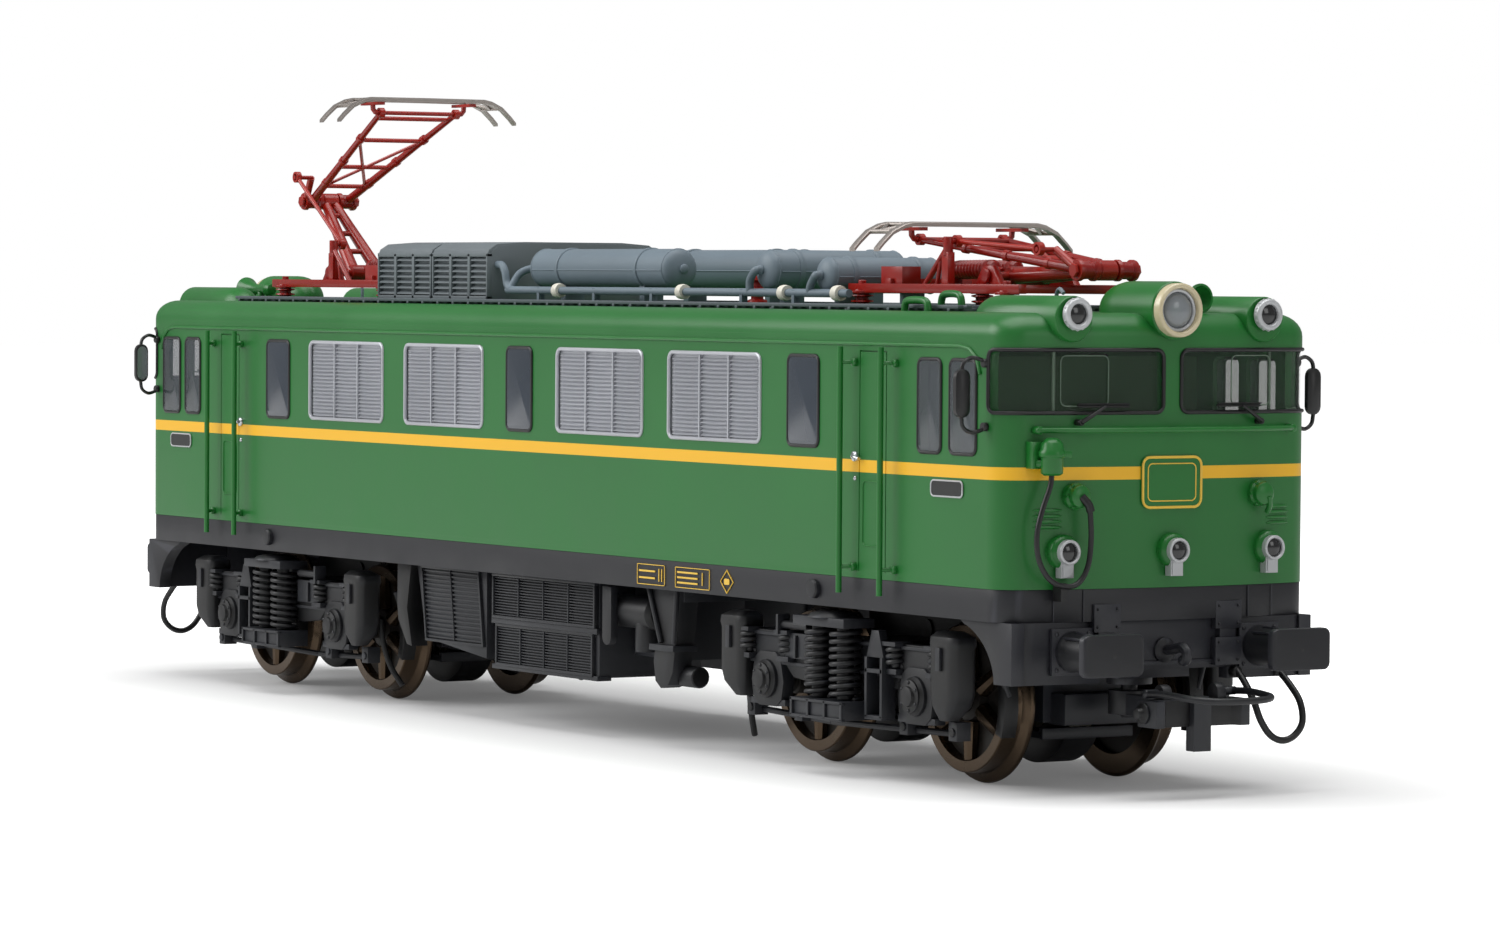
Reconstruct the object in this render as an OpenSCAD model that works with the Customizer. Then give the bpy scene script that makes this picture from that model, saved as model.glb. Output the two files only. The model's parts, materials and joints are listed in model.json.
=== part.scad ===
/* [Body] */
// half length of the body at its corners, mm
body_hl = 91.5; // [80:0.5:110]
// half width of the body over the side sheets, mm
body_hw = 17.86; // [15:0.1:20]
// height of the lower edge of the painted body, mm
body_z0 = 19.65; // [18:0.05:22]
// height of the rain gutter, mm
gutter_z = 42.2; // [38:0.1:46]
// height of the flat roof, mm
roof_z = 45.3; // [42:0.1:50]
// height of the roof walkway boards, mm
walk_z = 45.85; // [43:0.05:51]
// wall thickness of the moulded body, mm
wall = 1.2; // [0.8:0.1:2]
// lower edge of the dark sole bar, mm
sole_z0 = 16.6; // [15:0.1:18]

/* [Wheels] */
// half distance between the bogie pivots, mm
pivot_x = 60.03; // [50:0.01:70]
// wheelbase of one bogie, mm
wheelbase = 26.8; // [22:0.1:34]
// flange radius, mm
flange_r = 8.2; // [7:0.1:10]
// tread radius, mm
tread_r = 7.2; // [6:0.1:9]
// back to back distance of the wheels, mm
back_to_back = 14.4; // [14:0.1:15]
// axle radius, mm
axle_r = 1.2; // [0.8:0.1:1.5]

/* [Pantographs] */
// distance of the main pivot from the middle, mm
pan_x = 69; // [60:0.5:80]
// height of the main pivot, mm
pan_z = 48.7; // [47:0.1:52]
// lower arm length, mm
arm_low = 13; // [10:0.1:22]
// upper arm length, mm
arm_up = 24.7; // [18:0.1:32]
// lower arm angle of the folded pantograph, degrees
fold_deg = 2.6; // [0:0.1:10]
// lift of the raised pantograph's lower arm, degrees
lift_deg = 38.4; // [0:0.1:44]

/* [Coupling and buffers] */
// buffer face distance from the middle, mm
buffer_face_x = 99.25; // [90:0.05:110]
// buffer centre offset, mm
buffer_y = 10.77; // [8:0.01:12]
// buffer centre height, mm
buffer_z = 13.85; // [12:0.05:16]
// coupling pivot distance from the middle, mm
coupler_x = 86.5; // [84:0.1:90]

/* [Hidden] */
$fn = 32;
e = 0.02;
axle_z = flange_r;
ax = wheelbase / 2;
gear_z = 14;
gear_r = 8.6;
axle_gear_r = norm([ax, gear_z - axle_z]) - gear_r - 0.12;
worm_r = 2.1;
worm_z = gear_z + gear_r + worm_r + 0.12;
corner_r = 3;
bow = 1.5;
end_screw_x = 84;
side_screw = [34, 14.4];
turntable_r = 12;
win_z0 = 31.9;
win_z1 = 41;
wins = [[-56.6, 5.9], [0, 5.7], [56.6, 5.9], [78.9, 4.2], [84.55, 4.7], [-78.9, 4.2], [-84.55, 4.7]];
grilles = [-39.8, -16.9, 16.9, 39.8];
rail_x = [65.3, 72.45];
lamp_low_y = [-11.8, 0, 11.8];

// plain box between two corners
module bx(x0, x1, y0, y1, z0, z1) {
    translate([x0, y0, z0]) cube([x1 - x0, y1 - y0, z1 - z0]);
}
// round bars along each axis
module cx(x0, x1, y, z, r) { translate([x0, y, z]) rotate([0, 90, 0]) cylinder(r = r, h = x1 - x0); }
module cy(y0, y1, x, z, r) { translate([x, y0, z]) rotate([-90, 0, 0]) cylinder(r = r, h = y1 - y0); }
module cz(z0, z1, x, y, r) { translate([x, y, z0]) cylinder(r = r, h = z1 - z0); }
// round bar between two points, with a ball at its start
module rod(p, q, r, ball = true) {
    v = q - p;
    l = norm(v);
    translate(p) rotate([0, acos(v[2] / l), atan2(v[1], v[0])]) cylinder(r = r, h = l);
    if (ball) translate(p) sphere(r = r * 1.1);
}
// bent wire through a list of points
module wire(pts, r) {
    for (i = [0:len(pts) - 2]) rod(pts[i], pts[i + 1], r, i > 0);
}
// both ends, the second turned half round
module ends() { children(); rotate([0, 0, 180]) children(); }
// both sides, mirrored
module sides() { children(); mirror([0, 1, 0]) children(); }
// all four corners, mirrored
module quads() { sides() { children(); mirror([1, 0, 0]) children(); } }
// rounded rectangle outline
function arc(cx0, cy0, r, a0, a1, n) = [for (i = [0:n]) let (a = a0 + (a1 - a0) * i / n)
    [cx0 + r * cos(a), cy0 + r * sin(a)]];
function rrect(w, h, r) = concat(
    arc(w / 2 - r, h / 2 - r, r, 0, 90, 4), arc(-w / 2 + r, h / 2 - r, r, 90, 180, 4),
    arc(-w / 2 + r, -h / 2 + r, r, 180, 270, 4), arc(w / 2 - r, -h / 2 + r, r, 270, 360, 4));
// rounded plate standing in the side wall
module side_plate(xc, w, z0, z1, r, y0, y1) {
    translate([xc, y1, (z0 + z1) / 2]) rotate([90, 0, 0])
        linear_extrude(y1 - y0) polygon(rrect(w, z1 - z0, r));
}
// plan outline of the body, grown by d
function front_pts(d) = concat(
    arc(body_hl - corner_r, -body_hw + corner_r, corner_r + d, -90, -8, 6),
    [for (i = [-6:6]) let (y = (body_hw - corner_r) * i / 6)
        [body_hl + d + bow * (1 - pow(i / 6, 2)), y]],
    arc(body_hl - corner_r, body_hw - corner_r, corner_r + d, 8, 90, 6));
function outline(d) = concat(front_pts(d), [for (p = front_pts(d)) -p]);
module plan(d, z0, z1) { translate([0, 0, z0]) linear_extrude(z1 - z0) polygon(outline(d)); }
// roof cross-section, shrunk by d
function roof_half(d) = [[body_hw - d, gutter_z], [body_hw - 0.25 - d, gutter_z + 0.7 - d * 0.3],
    [body_hw - 0.95 - d, gutter_z + 1.4 - d * 0.5], [body_hw - 2.1 - d, gutter_z + 2.1 - d * 0.7],
    [body_hw - 3.8 - d, gutter_z + 2.6 - d * 0.9], [body_hw - 6 - d, roof_z - 0.2 - d]];
module section(d, z0) {
    h = roof_half(d);
    rotate([90, 0, 90]) translate([0, 0, -110]) linear_extrude(220) polygon(concat(
        [[-body_hw + d, z0], [body_hw - d, z0]], h, [[0, roof_z - d]],
        [for (i = [len(h) - 1:-1:0]) [-h[i][0], h[i][1]]]));
}
// end profile, roof rolling over the cab front
module long_section(d, z0) {
    q = [[body_hl + bow + 1 - d, z0], [body_hl + bow + 1 - d, 42.6], [body_hl + bow - 0.6 - d, 43.6],
        [body_hl - 0.8 - d, 44.5 - d], [body_hl - 3.5 - d, roof_z - d]];
    rotate([90, 0, 0]) translate([0, 0, -25]) linear_extrude(50) polygon(concat(q,
        [for (i = [len(q) - 1:-1:0]) [-q[i][0], q[i][1]]]));
}
module solid_body(d, z0) {
    intersection() {
        plan(-d, z0, 50);
        section(d, z0 - 1);
        long_section(d, z0 - 1);
    }
}
// region of one wrapped windscreen, shrunk by s
module screen_zone(s) {
    for (k = [1, -1]) mirror([0, k > 0 ? 0 : 1, 0])
        bx(88.7 + s, 96, 0.9 + s, 19, 35.9 + s, 42 - s);
}
module screens(s) { screen_zone(s); rotate([0, 0, 180]) screen_zone(s); }

module body_shell() {
    color("#2f7a36") difference() {
        union() {
            solid_body(0, body_z0);
            sides() bx(-87.5, 87.5, body_hw - 0.4, body_hw + 0.25, gutter_z - 0.25, gutter_z + 0.1);
        }
        solid_body(wall, body_z0 - 2);
        screens(0);
        sides() {
            for (w = wins) side_plate(w[0], w[1], win_z0, win_z1, 0.8, body_hw - 3, body_hw + 1);
            for (g = grilles) side_plate(g, 18, 32, 41, 0.8, body_hw - 0.6, body_hw + 1);
            door_grooves();
        }
        ends() for (k = [-1, 1], i = [0:3])
            bx(91, 95, k * 13 - 1.5, k * 13 + 1.5, 25.2 + i * 0.55, 25.45 + i * 0.55);
    }
}
// door gap grooves on one side
module door_grooves() {
    for (x = [-71.6, -66.6, 66.6, 71.6]) bx(x - 0.1, x + 0.1, body_hw - 0.25, body_hw + 1, 20.2, 41.4);
    for (s = [-1, 1]) bx(s * 69.1 - 2.5, s * 69.1 + 2.5, body_hw - 0.25, body_hw + 1, 41.3, 41.5);
    for (s = [-1, 1]) difference() {
        side_plate(s * 69.1, 3.6, 22.6, 29, 0.3, body_hw - 0.2, body_hw + 1);
        side_plate(s * 69.1, 3.2, 22.8, 28.8, 0.3, body_hw - 0.3, body_hw + 2);
    }
}

module sole_band() {
    color("#3a3b42") difference() {
        union() {
            plan(-0.05, sole_z0, body_z0 - e);
            for (s = [-1, 1]) bx(s * 59.3 - 1.5, s * 59.3 + 1.5, -body_hw - 0.5, body_hw + 0.5, 17, 19.3);
        }
        plan(-1.3, sole_z0 - 1, body_z0 + 1);
    }
}

// dark end apron with the buffer beam and the coupling pocket
module end_beams() {
    color("#35363b") ends() difference() {
        union() {
            bx(90.4, 92.4, -14.6, 14.6, 11.6, sole_z0 - e);
            sides() {
                bx(83.4, 90.4, 15.6, 17.2, 13.6, sole_z0 - e);
                translate([90.4, 17.2, 11.6]) rotate([90, 0, 0]) linear_extrude(2.6)
                    polygon([[0, 0], [2, 0], [2, 4.9], [0, 4.9], [-7, 4.9], [-7, 4.2], [-1.2, -1]]);
                bx(92.4, 92.9, 5.6, 8.4, 12.1, 14.7);
                bx(92.4, 92.9, 5.6, 8.4, 15.3, 16.5);
            }
            bx(83.6, 90.4, -4.2, 4.2, 11, 14);
            cz(10.2, 11, coupler_x, 0, 2.2);
            cz(7, 10.2, coupler_x, 0, 0.8);
        }
        bx(89.6, 93, -2.6, 2.6, 11, 13.4);
        sides() cx(89, 93, buffer_y, buffer_z, 1.1);
        for (k = [-1, 1]) bx(86.4, 87.6, k * 20 - 3, k * 20 + 3, 15.2, 16.9);
    }
}

module window_glass() {
    color("#8b9296") {
        sides() for (w = wins) side_plate(w[0], w[1] - 1.14, win_z0 + 0.57, win_z1 - 0.57, 0.4,
            body_hw - 0.85, body_hw - 0.2);
        difference() {
            intersection() { plan(-0.3, 34, 43); screens(0.58); }
            plan(-0.9, 33, 44);
        }
    }
}
module window_rubbers() {
    color("#17181a") {
        sides() for (w = wins) difference() {
            side_plate(w[0], w[1] - 2 * e, win_z0 + e, win_z1 - e, 0.8, body_hw - 1.1, body_hw + 0.15);
            side_plate(w[0], w[1] - 1.1, win_z0 + 0.55, win_z1 - 0.55, 0.4, body_hw - 2, body_hw + 1);
        }
        difference() {
            intersection() { plan(0.15, 34, 43); screens(e); }
            plan(-1.15, 33, 44);
            screens(0.56);
        }
    }
}
module side_grilles() {
    color("#b9bcc2") sides() for (g = grilles) {
        side_plate(g, 18 - 2 * e, 32 + e, 41 - e, 0.8, body_hw - 0.58, body_hw - 0.25);
        for (z = [32.5:0.64:40.2]) bx(g - 8.5, g + 8.5, body_hw - 0.3, body_hw + 0.05, z, z + 0.32);
        for (k = [-3, 3]) bx(g + k - 0.15, g + k + 0.15, body_hw - 0.3, body_hw + 0.12, 32.4, 40.6);
    }
}
module handrails() {
    color("#2f7a36") {
        quads() for (x = rail_x) {
            cz(18.15, 41.9, x, body_hw + 1.4, 0.3);
            for (z = [20.6, 40.3]) rod([x, body_hw + 1.4, z], [x, body_hw + 0.01, z], 0.2, false);
        }
    }
    color("#2f7a36") ends() {
        wire([[91.8, -15.3, 34.3], [93.9, -10, 34.3], [94.5, 0, 34.3], [93.9, 10, 34.3],
            [91.8, 15.3, 34.3]], 0.25);
        for (p = [[93.96, -9.3, 92.45], [94.45, -1, 93.02], [93.96, 9.3, 92.45]])
            rod([p[0], p[1], 34.3], [p[2], p[1], 34.3], 0.17, false);
    }
}
module mirrors() {
    color("#141414") quads() {
        side_oval(88, 20.4, 38.7);
        wire([[87.6, body_hw + 0.01, 42.3 - 1], [87.9, 19.8, 41.7], [88, 20.4, 40.4]], 0.22);
        wire([[87.6, body_hw + 0.01, 35.3], [87.9, 19.8, 35.5], [88, 20.4, 36.8]], 0.22);
    }
}
module side_oval(x, y, z) {
    translate([x - 0.55, y, z]) rotate([90, 0, 90]) linear_extrude(1.1) polygon(rrect(2.2, 4.5, 1.05));
}
module wipers() {
    color("#141414") ends() for (k = [-1, 1]) {
        cx(front_x(5.1) + e, 93.6, k * 5.6, 35.2, 0.45);
        rod([93.5, k * 5.6, 35.2], [93.25, k * 10.2, 37.6], 0.2);
        rod([93.6, k * 8, 36.4], [93.05, k * 12.4, 38.6], 0.16);
    }
}

// headlight and marker lamp casings standing on the roof edge
module lamp_housings() {
    color("#2f7a36") ends() {
        difference() {
            union() {
                cx(88, 93.6, 0, 45.6, 2.7);
                translate([88, 0, 45.6]) scale([2.2, 1, 1]) sphere(r = 2.7);
                for (k = [-1, 1]) {
                    cx(85.5, 93.4, k * 11, 45.1, 1.75);
                    translate([85.5, k * 11, 45.1]) scale([3.6, 1, 1]) sphere(r = 1.75);
                }
            }
            cx(92.2, 94, 0, 45.6, 2.1);
            for (k = [-1, 1]) cx(92.2, 94, k * 11, 45.1, 1.2);
            intersection() {
                plan(0.02, 30, 50);
                section(-0.02, 30);
                long_section(-0.02, 30);
            }
        }
        for (y = lamp_low_y) difference() {
            cx(front_x(max(abs(y) - 1.45, 0)) + e, front_x(y) + 1.2, y, 23.1, 1.45);
            cx(front_x(y) + 0.4, front_x(y) + 2, y, 23.1, 0.9);
        }
    }
}
function front_x(y) = body_hl + bow * (1 - pow(y / (body_hw - corner_r), 2));
module ring_x(x0, x1, y, z, r, ri) {
    difference() { cx(x0, x1, y, z, r); cx(x0 - 1, x1 + 1, y, z, ri); }
}
module lamp_rings() {
    color("#d8d4c4") ends() {
        ring_x(93.62, 94.6, 0, 45.6, 2.6, 1.9);
        for (k = [-1, 1]) ring_x(93.42, 94.3, k * 11, 45.1, 1.6, 1.05);
        for (y = lamp_low_y) {
            ring_x(front_x(y) + 1.22, front_x(y) + 2, y, 23.1, 1.3, 0.8);
            bx(front_x(y) + 1.22, front_x(y) + 1.8, y - 0.9, y + 0.9, 20.8, 21.7);
        }
    }
}
module lamp_lenses() {
    color("#54585c") ends() {
        cx(92.3, 94.2, 0, 45.6, 1.85);
        for (k = [-1, 1]) cx(92.3, 94, k * 11, 45.1, 1);
        for (y = lamp_low_y) cx(front_x(y) + 0.45, front_x(y) + 1.8, y, 23.1, 0.76);
    }
}

// cable socket pots and small air taps on the cab front
module jumper_sockets() {
    color("#2a7032") ends() {
        bx(92, 92.6, -15.2, -12.4, 30.2, 33.8);
        cz(30.8, 33.3, 93.6, -14.1, 1.1);
        translate([93.6, -14.1, 33.3]) scale([1, 1, 0.6]) sphere(r = 1.1);
        bx(92.4, 93.6, -14.6, -13.6, 31.4, 32.6);
        for (k = [-1, 1]) {
            cx(92.55, 93.7, k * 10.6, 28.2, 1.15);
            cx(93.7, 94.3, k * 10.6, 28.2, 0.75);
        }
        bx(92.1, 93.1, -13.1, -11.9, 19.7, 20.4);
    }
}
module jumper_cables() {
    color("#101010") ends() wire([[93.6, -14.1, 30.6], [93.7, -15.1, 28.2], [93.8, -15.6, 25],
        [93.9, -14.9, 22], [94, -13.4, 20.2], [94.3, -11.6, 20.1], [94.9, -10.1, 21.4], [95, -9.3, 23.6],
        [95, -9.4, 25.8], [95.2, -10.2, 27.6], [95.1, -10.6, 28.2], [94.32, -10.6, 28.2]], 0.42);
}
module brake_hoses() {
    color("#101010") ends() {
        cz(10.6, 11.58, 91.8, 13.4, 0.7);
        wire([[91.8, 13.4, 11], [93.6, 13.7, 9.9], [95.2, 13.9, 8.2], [95.9, 13, 6], [96, 11.4, 5.2],
            [96, 9.6, 5.6], [95.8, 8.4, 7.1], [95.2, 8.2, 8.9], [93.9, 8.6, 10.5], [92.65, 8.15, 11.6]], 0.33);
    }
}

// roof
module roof_walkways() {
    color("#5d666c") difference() {
        sides() {
            for (y = [9.2, 11.4]) bx(-78, 76, y, y + 1.2, walk_z - 0.4, walk_z);
            for (x = [-77:7.2:75]) bx(x, x + 0.6, 9.2, 12.6, roof_z - 0.12, walk_z - 0.35);
        }
        bx(-45.5, -19.6, -11.1, 11.1, roof_z - 1, 47);
    }
}
module ventilator_boxes() {
    color("#69727a") for (x0 = [-45.4, -32.4]) {
        rotate([90, 0, 90]) translate([0, 0, x0]) linear_extrude(12.7) polygon([[-10.6, roof_z + e],
            [-10.6, 51.2], [-9.5, 51.7], [-6, 52.1], [6, 52.1], [9.5, 51.7], [10.6, 51.2],
            [10.6, roof_z + e]]);
        sides() for (b = [0:2], i = [0:5])
            bx(x0 + 0.6 + b * 3.95, x0 + 4.1 + b * 3.95, 10.5, 11, 46.4 + i * 0.8, 46.85 + i * 0.8);
    }
}
module tank(l, r) {
    rotate([0, 90, 0]) {
        cylinder(r = r, h = l - 1.2, center = true);
        for (k = [-1, 1]) {
            translate([0, 0, k * (l / 2 - 0.6)]) scale([1, 1, 0.45]) sphere(r = r);
            translate([0, 0, k * l * 0.28]) cylinder(r = r + 0.12, h = 0.7, center = true);
        }
    }
    for (k = [-1, 1]) translate([k * l * 0.28 - 0.6, -r * 0.8, -r - 0.6]) cube([1.2, r * 1.6, 1]);
}
module air_tanks() {
    color("#66737c") {
        translate([-0.2, -6.5, 49.3]) tank(30, 2.1);
        translate([4, 6.5, 49.3]) tank(30, 2.1);
        translate([34.8, -0.8, 49.2]) rotate([0, 0, 90]) tank(17, 2.05);
        translate([46.3, -2.4, 48.7]) rotate([0, 0, 90]) tank(14, 1.8);
        for (x = [-8.6, 8.2]) bx(x - 0.6, x + 0.6, -8, -5, roof_z, 46.9);
        for (x = [-4.4, 12.4]) bx(x - 0.6, x + 0.6, 5, 8, roof_z, 46.9);
        for (y = [-5.6, 4]) bx(33.3, 36.3, y - 0.6, y + 0.6, roof_z, 46.9);
        for (y = [-6.3, 1.5]) bx(45, 47.6, y - 0.6, y + 0.6, roof_z, 46.6);
    }
}
module roof_pipes() {
    color("#7b8992") {
        wire([[-19.6, -9.7, 49.6], [-18.3, -9.7, 49.6], [-17.4, -9.7, 46.9], [52, -9.7, 46.9]], 0.4);
        cx(-19.6, 20, 9.7, 46.9, 0.4);
        for (x = [22, 27]) cy(-9.7, 9.7, x, 46.9, 0.3);
        for (x = [-12, 2, 14, 32, 42, 50]) bx(x - 0.35, x + 0.35, -10.2, -9.2, walk_z + e, 47.5);
        for (x = [-10, 2, 14]) bx(x - 0.35, x + 0.35, 9.2, 10.2, walk_z + e, 47.5);
    }
}
module ribbed(x, y, z0, h, r) {
    cz(z0, z0 + h, x, y, r * 0.6);
    for (i = [0:2]) cz(z0 + h * (0.12 + 0.3 * i), z0 + h * (0.26 + 0.3 * i), x, y, r);
}
module roof_insulators() {
    color("#7a2a1e") {
        for (x = [-76, -50.5, 50.5, 76], y = [-7.2, 7.2]) ribbed(x, y, roof_z + e, 1.66, 0.95);
        for (x = [-47.3, 19]) ribbed(x, 0, roof_z + e, 3.6, 1.1);
    }
}
// square-topped lifting eye
module lug(x, y, w, z0, z1) {
    wire([[x - w / 2, y, z0], [x - w / 2, y, z1], [x + w / 2, y, z1], [x + w / 2, y, z0]], 0.35);
}
module horns() {
    color("#2f7a36") ends() {
        cz(roof_z - 0.06, 46.6, 86.6, 5.2, 0.4);
        translate([83, 5.2, 46.6]) rotate([0, 90, 0]) rotate_extrude()
            polygon([[0, 0], [0.8, 0.2], [0.9, 1], [0.55, 1.5], [0.55, 5], [1.4, 7.3], [0, 7.3]]);
        lug(70, -13.6, 4, 44.93, 46.4);
        lug(72, -10.9, 3.4, 45.15, 47);
    }
}

// pantographs: drawn for the +X end, end 1 is the mirror image
function pk(l) = [pan_x + arm_low * cos(fold_deg + l), pan_z + arm_low * sin(fold_deg + l)];
function up_deg(l) = 6.93 + 0.444 * l;
function ph(l) = pk(l) + arm_up * [-cos(up_deg(l)), sin(up_deg(l))];
function rod_deg(l) = -3.08 + 0.986 * l;
rod_x = 64.85;
rod_z = 52.06;
rod_l = 14;
rod_y = -5.5;
function p3(p, y) = [p[0], y, p[1]];

module pan_frame() {
    sides() {
        bx(48.8, 78.4, 6.7, 7.7, 47, 47.9);
        difference() {
            bx(68, 70, 3.9, 4.7, 47.4, 49.7);
            cy(3, 6, pan_x, pan_z, 0.5);
        }
        bx(66, 72, 3.9, 7, 47, 47.5);
    }
    for (x = [49.6, 77.4]) bx(x - 0.6, x + 0.6, -7.6, 7.6, 47, 47.9);
    bx(64.2, 65.5, -6.9, -6.2, 47.5, 51.2);
    rod([rod_x, -6.5, 51], [rod_x, -6.5, rod_z], 0.45);
    cy(-6.6, -4.9, rod_x, rod_z, 0.27);
    cx(55, 63.4, 2.6, 48.2, 0.8);
    cx(55, 63.4, -2.6, 48.2, 0.8);
    bx(54.4, 55.4, -7, 7, 47, 48.6);
    bx(62.9, 63.9, -7, 7, 47, 48.6);
}
module pan_lower(l) {
    k = pk(l);
    cy(-4.9, 4.9, pan_x, pan_z, 0.42);
    for (y = [-1.6, 1.6]) rod([pan_x, y, pan_z], [k[0], y * 0.35, k[1]], 0.5);
    cy(-2.2, 2.2, pan_x, pan_z, 0.85);
    cy(-0.95, 0.95, k[0], k[1], 0.95);
    cy(-3.7, 3.7, k[0], k[1], 0.4);
}
module pan_upper(l) {
    k = pk(l);
    h = ph(l);
    d = up_deg(l);
    lv = k + 3.67 * [-cos(d + 25.3), sin(d + 25.3)];
    m = k * 0.62 + h * 0.38;
    m2 = k * 0.3 + h * 0.7;
    difference() {
        union() {
            for (s = [-1, 1]) {
                rod(p3(k, s * 2.3), p3(h, s * 4.9), 0.38);
                cy(min(s * 1.1, s * 3.4), max(s * 1.1, s * 3.4), k[0], k[1], 0.9);
                cy(min(s * 4.6, s * 5.25), max(s * 4.6, s * 5.25), h[0], h[1], 0.55);
            }
            rod(p3(m, 3.3), p3(m, -3.3), 0.3);
            rod(p3(m2, 4.1), p3(m2, -4.1), 0.3);
            rod(p3(m, 3.3), p3(m2, -4.1), 0.22);
            rod(p3(k, -3.2), p3(lv, -3.6), 0.4);
            rod(p3(lv, -3.6), p3(lv, -5.85), 0.26);
        }
        cy(-3.9, 3.9, k[0], k[1], 0.45);
        cy(-6, 6, h[0], h[1], 0.33);
    }
}
module pan_head(l) {
    h = ph(l);
    cy(-5.7, 5.7, h[0], h[1], 0.27);
    for (s = [-1, 1]) rod([h[0], s * 5.6, h[1]], [h[0], s * 6, h[1] + 1.1], 0.32);
    for (s = [-1, 1]) bx(h[0] - 2.6, h[0] + 2.6, s * 6 - 0.35, s * 6 + 0.35, h[1] + 0.9, h[1] + 1.3);
    for (x = [-2.2, 2.2]) {
        bx(h[0] + x - 0.55, h[0] + x + 0.55, -7.6, 7.6, h[1] + 1.25, h[1] + 1.75);
        for (s = [-1, 1]) {
            rod([h[0] + x, s * 7.4, h[1] + 1.5], [h[0] + x, s * 9.8, h[1] + 0.75], 0.3);
            rod([h[0] + x, s * 9.8, h[1] + 0.75], [h[0] + x, s * 11.5, h[1] - 1], 0.28);
        }
    }
}
module pan_rod(l) {
    d = rod_deg(l);
    t = [rod_x + rod_l * cos(d), rod_z + rod_l * sin(d)];
    difference() {
        union() {
            rod([rod_x, rod_y, rod_z], p3(t, rod_y), 0.26);
            for (p = [[rod_x, rod_z], t]) cy(rod_y - 0.3, rod_y + 0.3, p[0], p[1], 0.62);
        }
        cy(rod_y - 1, rod_y + 1, rod_x, rod_z, 0.32);
        cy(rod_y - 1, rod_y + 1, t[0], t[1], 0.42);
    }
}
module end_1() { mirror([1, 0, 0]) children(); }
module pantograph_frames() { color("#a3261c") { pan_frame(); end_1() pan_frame(); } }
module lower_arm_1() { color("#a3261c") end_1() pan_lower(lift_deg); }
module upper_arm_1() { color("#a3261c") end_1() pan_upper(lift_deg); }
module pan_head_1() { color("#a3261c") end_1() pan_head(lift_deg); }
module guide_rod_1() { color("#a3261c") end_1() pan_rod(lift_deg); }
module lower_arm_2() { color("#a3261c") pan_lower(0); }
module upper_arm_2() { color("#a3261c") pan_upper(0); }
module pan_head_2() { color("#a3261c") pan_head(0); }
module guide_rod_2() { color("#a3261c") pan_rod(0); }

// inside
module chassis_frame() {
    color("#50535a") difference() {
        union() {
            bx(-88.6, 88.6, -16.4, 16.4, 17.2, 19.6);
            bx(-45, 45, -12.5, 12.5, 19.5, 24);
            for (s = [-1, 1]) bx(s * 33 - 7, s * 33 + 7, -12.5, 12.5, 23.9, 36);
        }
        bx(-20, 20, -9.6, 9.6, 18.9, 40);
        for (s = [-1, 1]) {
            cz(16, 25, s * pivot_x, 0, turntable_r + 0.08);
            bx(s * 33 - 14, s * 33 + 14, -3.2, 3.2, worm_z - 3.1, 40);
            cz(16, 20, s * end_screw_x, 0, 1.05);
            for (k = [-1, 1]) cz(16, 20, s * side_screw[0], k * side_screw[1], 0.85);
        }
    }
}
module motor_housing() {
    color("#8f9297") {
        difference() {
            bx(-14, 14, -8.4, 8.4, 19, 33);
            cx(-15, 15, 0, worm_z, 1.1);
            cx(-12.6, 12.6, 0, worm_z, 5.5);
        }
    }
}
module motor_rotor() {
    color("#a9834a") {
        cx(-26.6, 26.6, 0, worm_z, 0.9);
        cx(-11, 11, 0, worm_z, 4.9);
        for (s = [-1, 1]) cx(s * 19.6 - 3.4, s * 19.6 + 3.4, 0, worm_z, 2.95);
    }
}
module cardan_shafts() {
    color("#d9d7cf") for (s = [-1, 1]) mirror([s < 0 ? 1 : 0, 0, 0]) {
        difference() {
            cx(23.4, 29, 0, worm_z, 1.7);
            cx(22, 26.62, 0, worm_z, 0.92);
        }
        cx(28.9, 54, 0, worm_z, 0.6);
        translate([54, 0, worm_z]) sphere(r = 0.8);
    }
}
module worm(s) {
    color("#c2a25a") mirror([s < 0 ? 1 : 0, 0, 0]) difference() {
        union() {
            cx(52.6, 56, 0, worm_z, 2.5);
            cx(56, pivot_x + 9, 0, worm_z, 0.9);
            for (i = [0:6]) cx(pivot_x - 3.2 + i * 0.95, pivot_x - 2.7 + i * 0.95, 0, worm_z, worm_r);
            cx(pivot_x - 3.4, pivot_x + 3.4, 0, worm_z, 1.6);
        }
        cx(52, 55.2, 0, worm_z, 1.85);
    }
}
module worm_1() { worm(-1); }
module worm_2() { worm(1); }

// toothed wheel with its own tooth count
module cog(r, h, n, bore) {
    rotate([90, 0, 0]) difference() {
        union() {
            cylinder(r = r - 0.55, h = h, center = true);
            for (i = [0:n - 1]) rotate([0, 0, i * 360 / n]) translate([r - 0.8, -0.3, -h / 2])
                cube([0.8, 0.6, h]);
        }
        cylinder(r = bore, h = h + 1, center = true);
    }
}
module drive_gear(s) {
    color("#e6e2d2") translate([s * pivot_x, 0, gear_z]) cog(gear_r, 2.6, 34, 1.06);
}
module drive_gear_1() { drive_gear(-1); }
module drive_gear_2() { drive_gear(1); }

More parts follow.
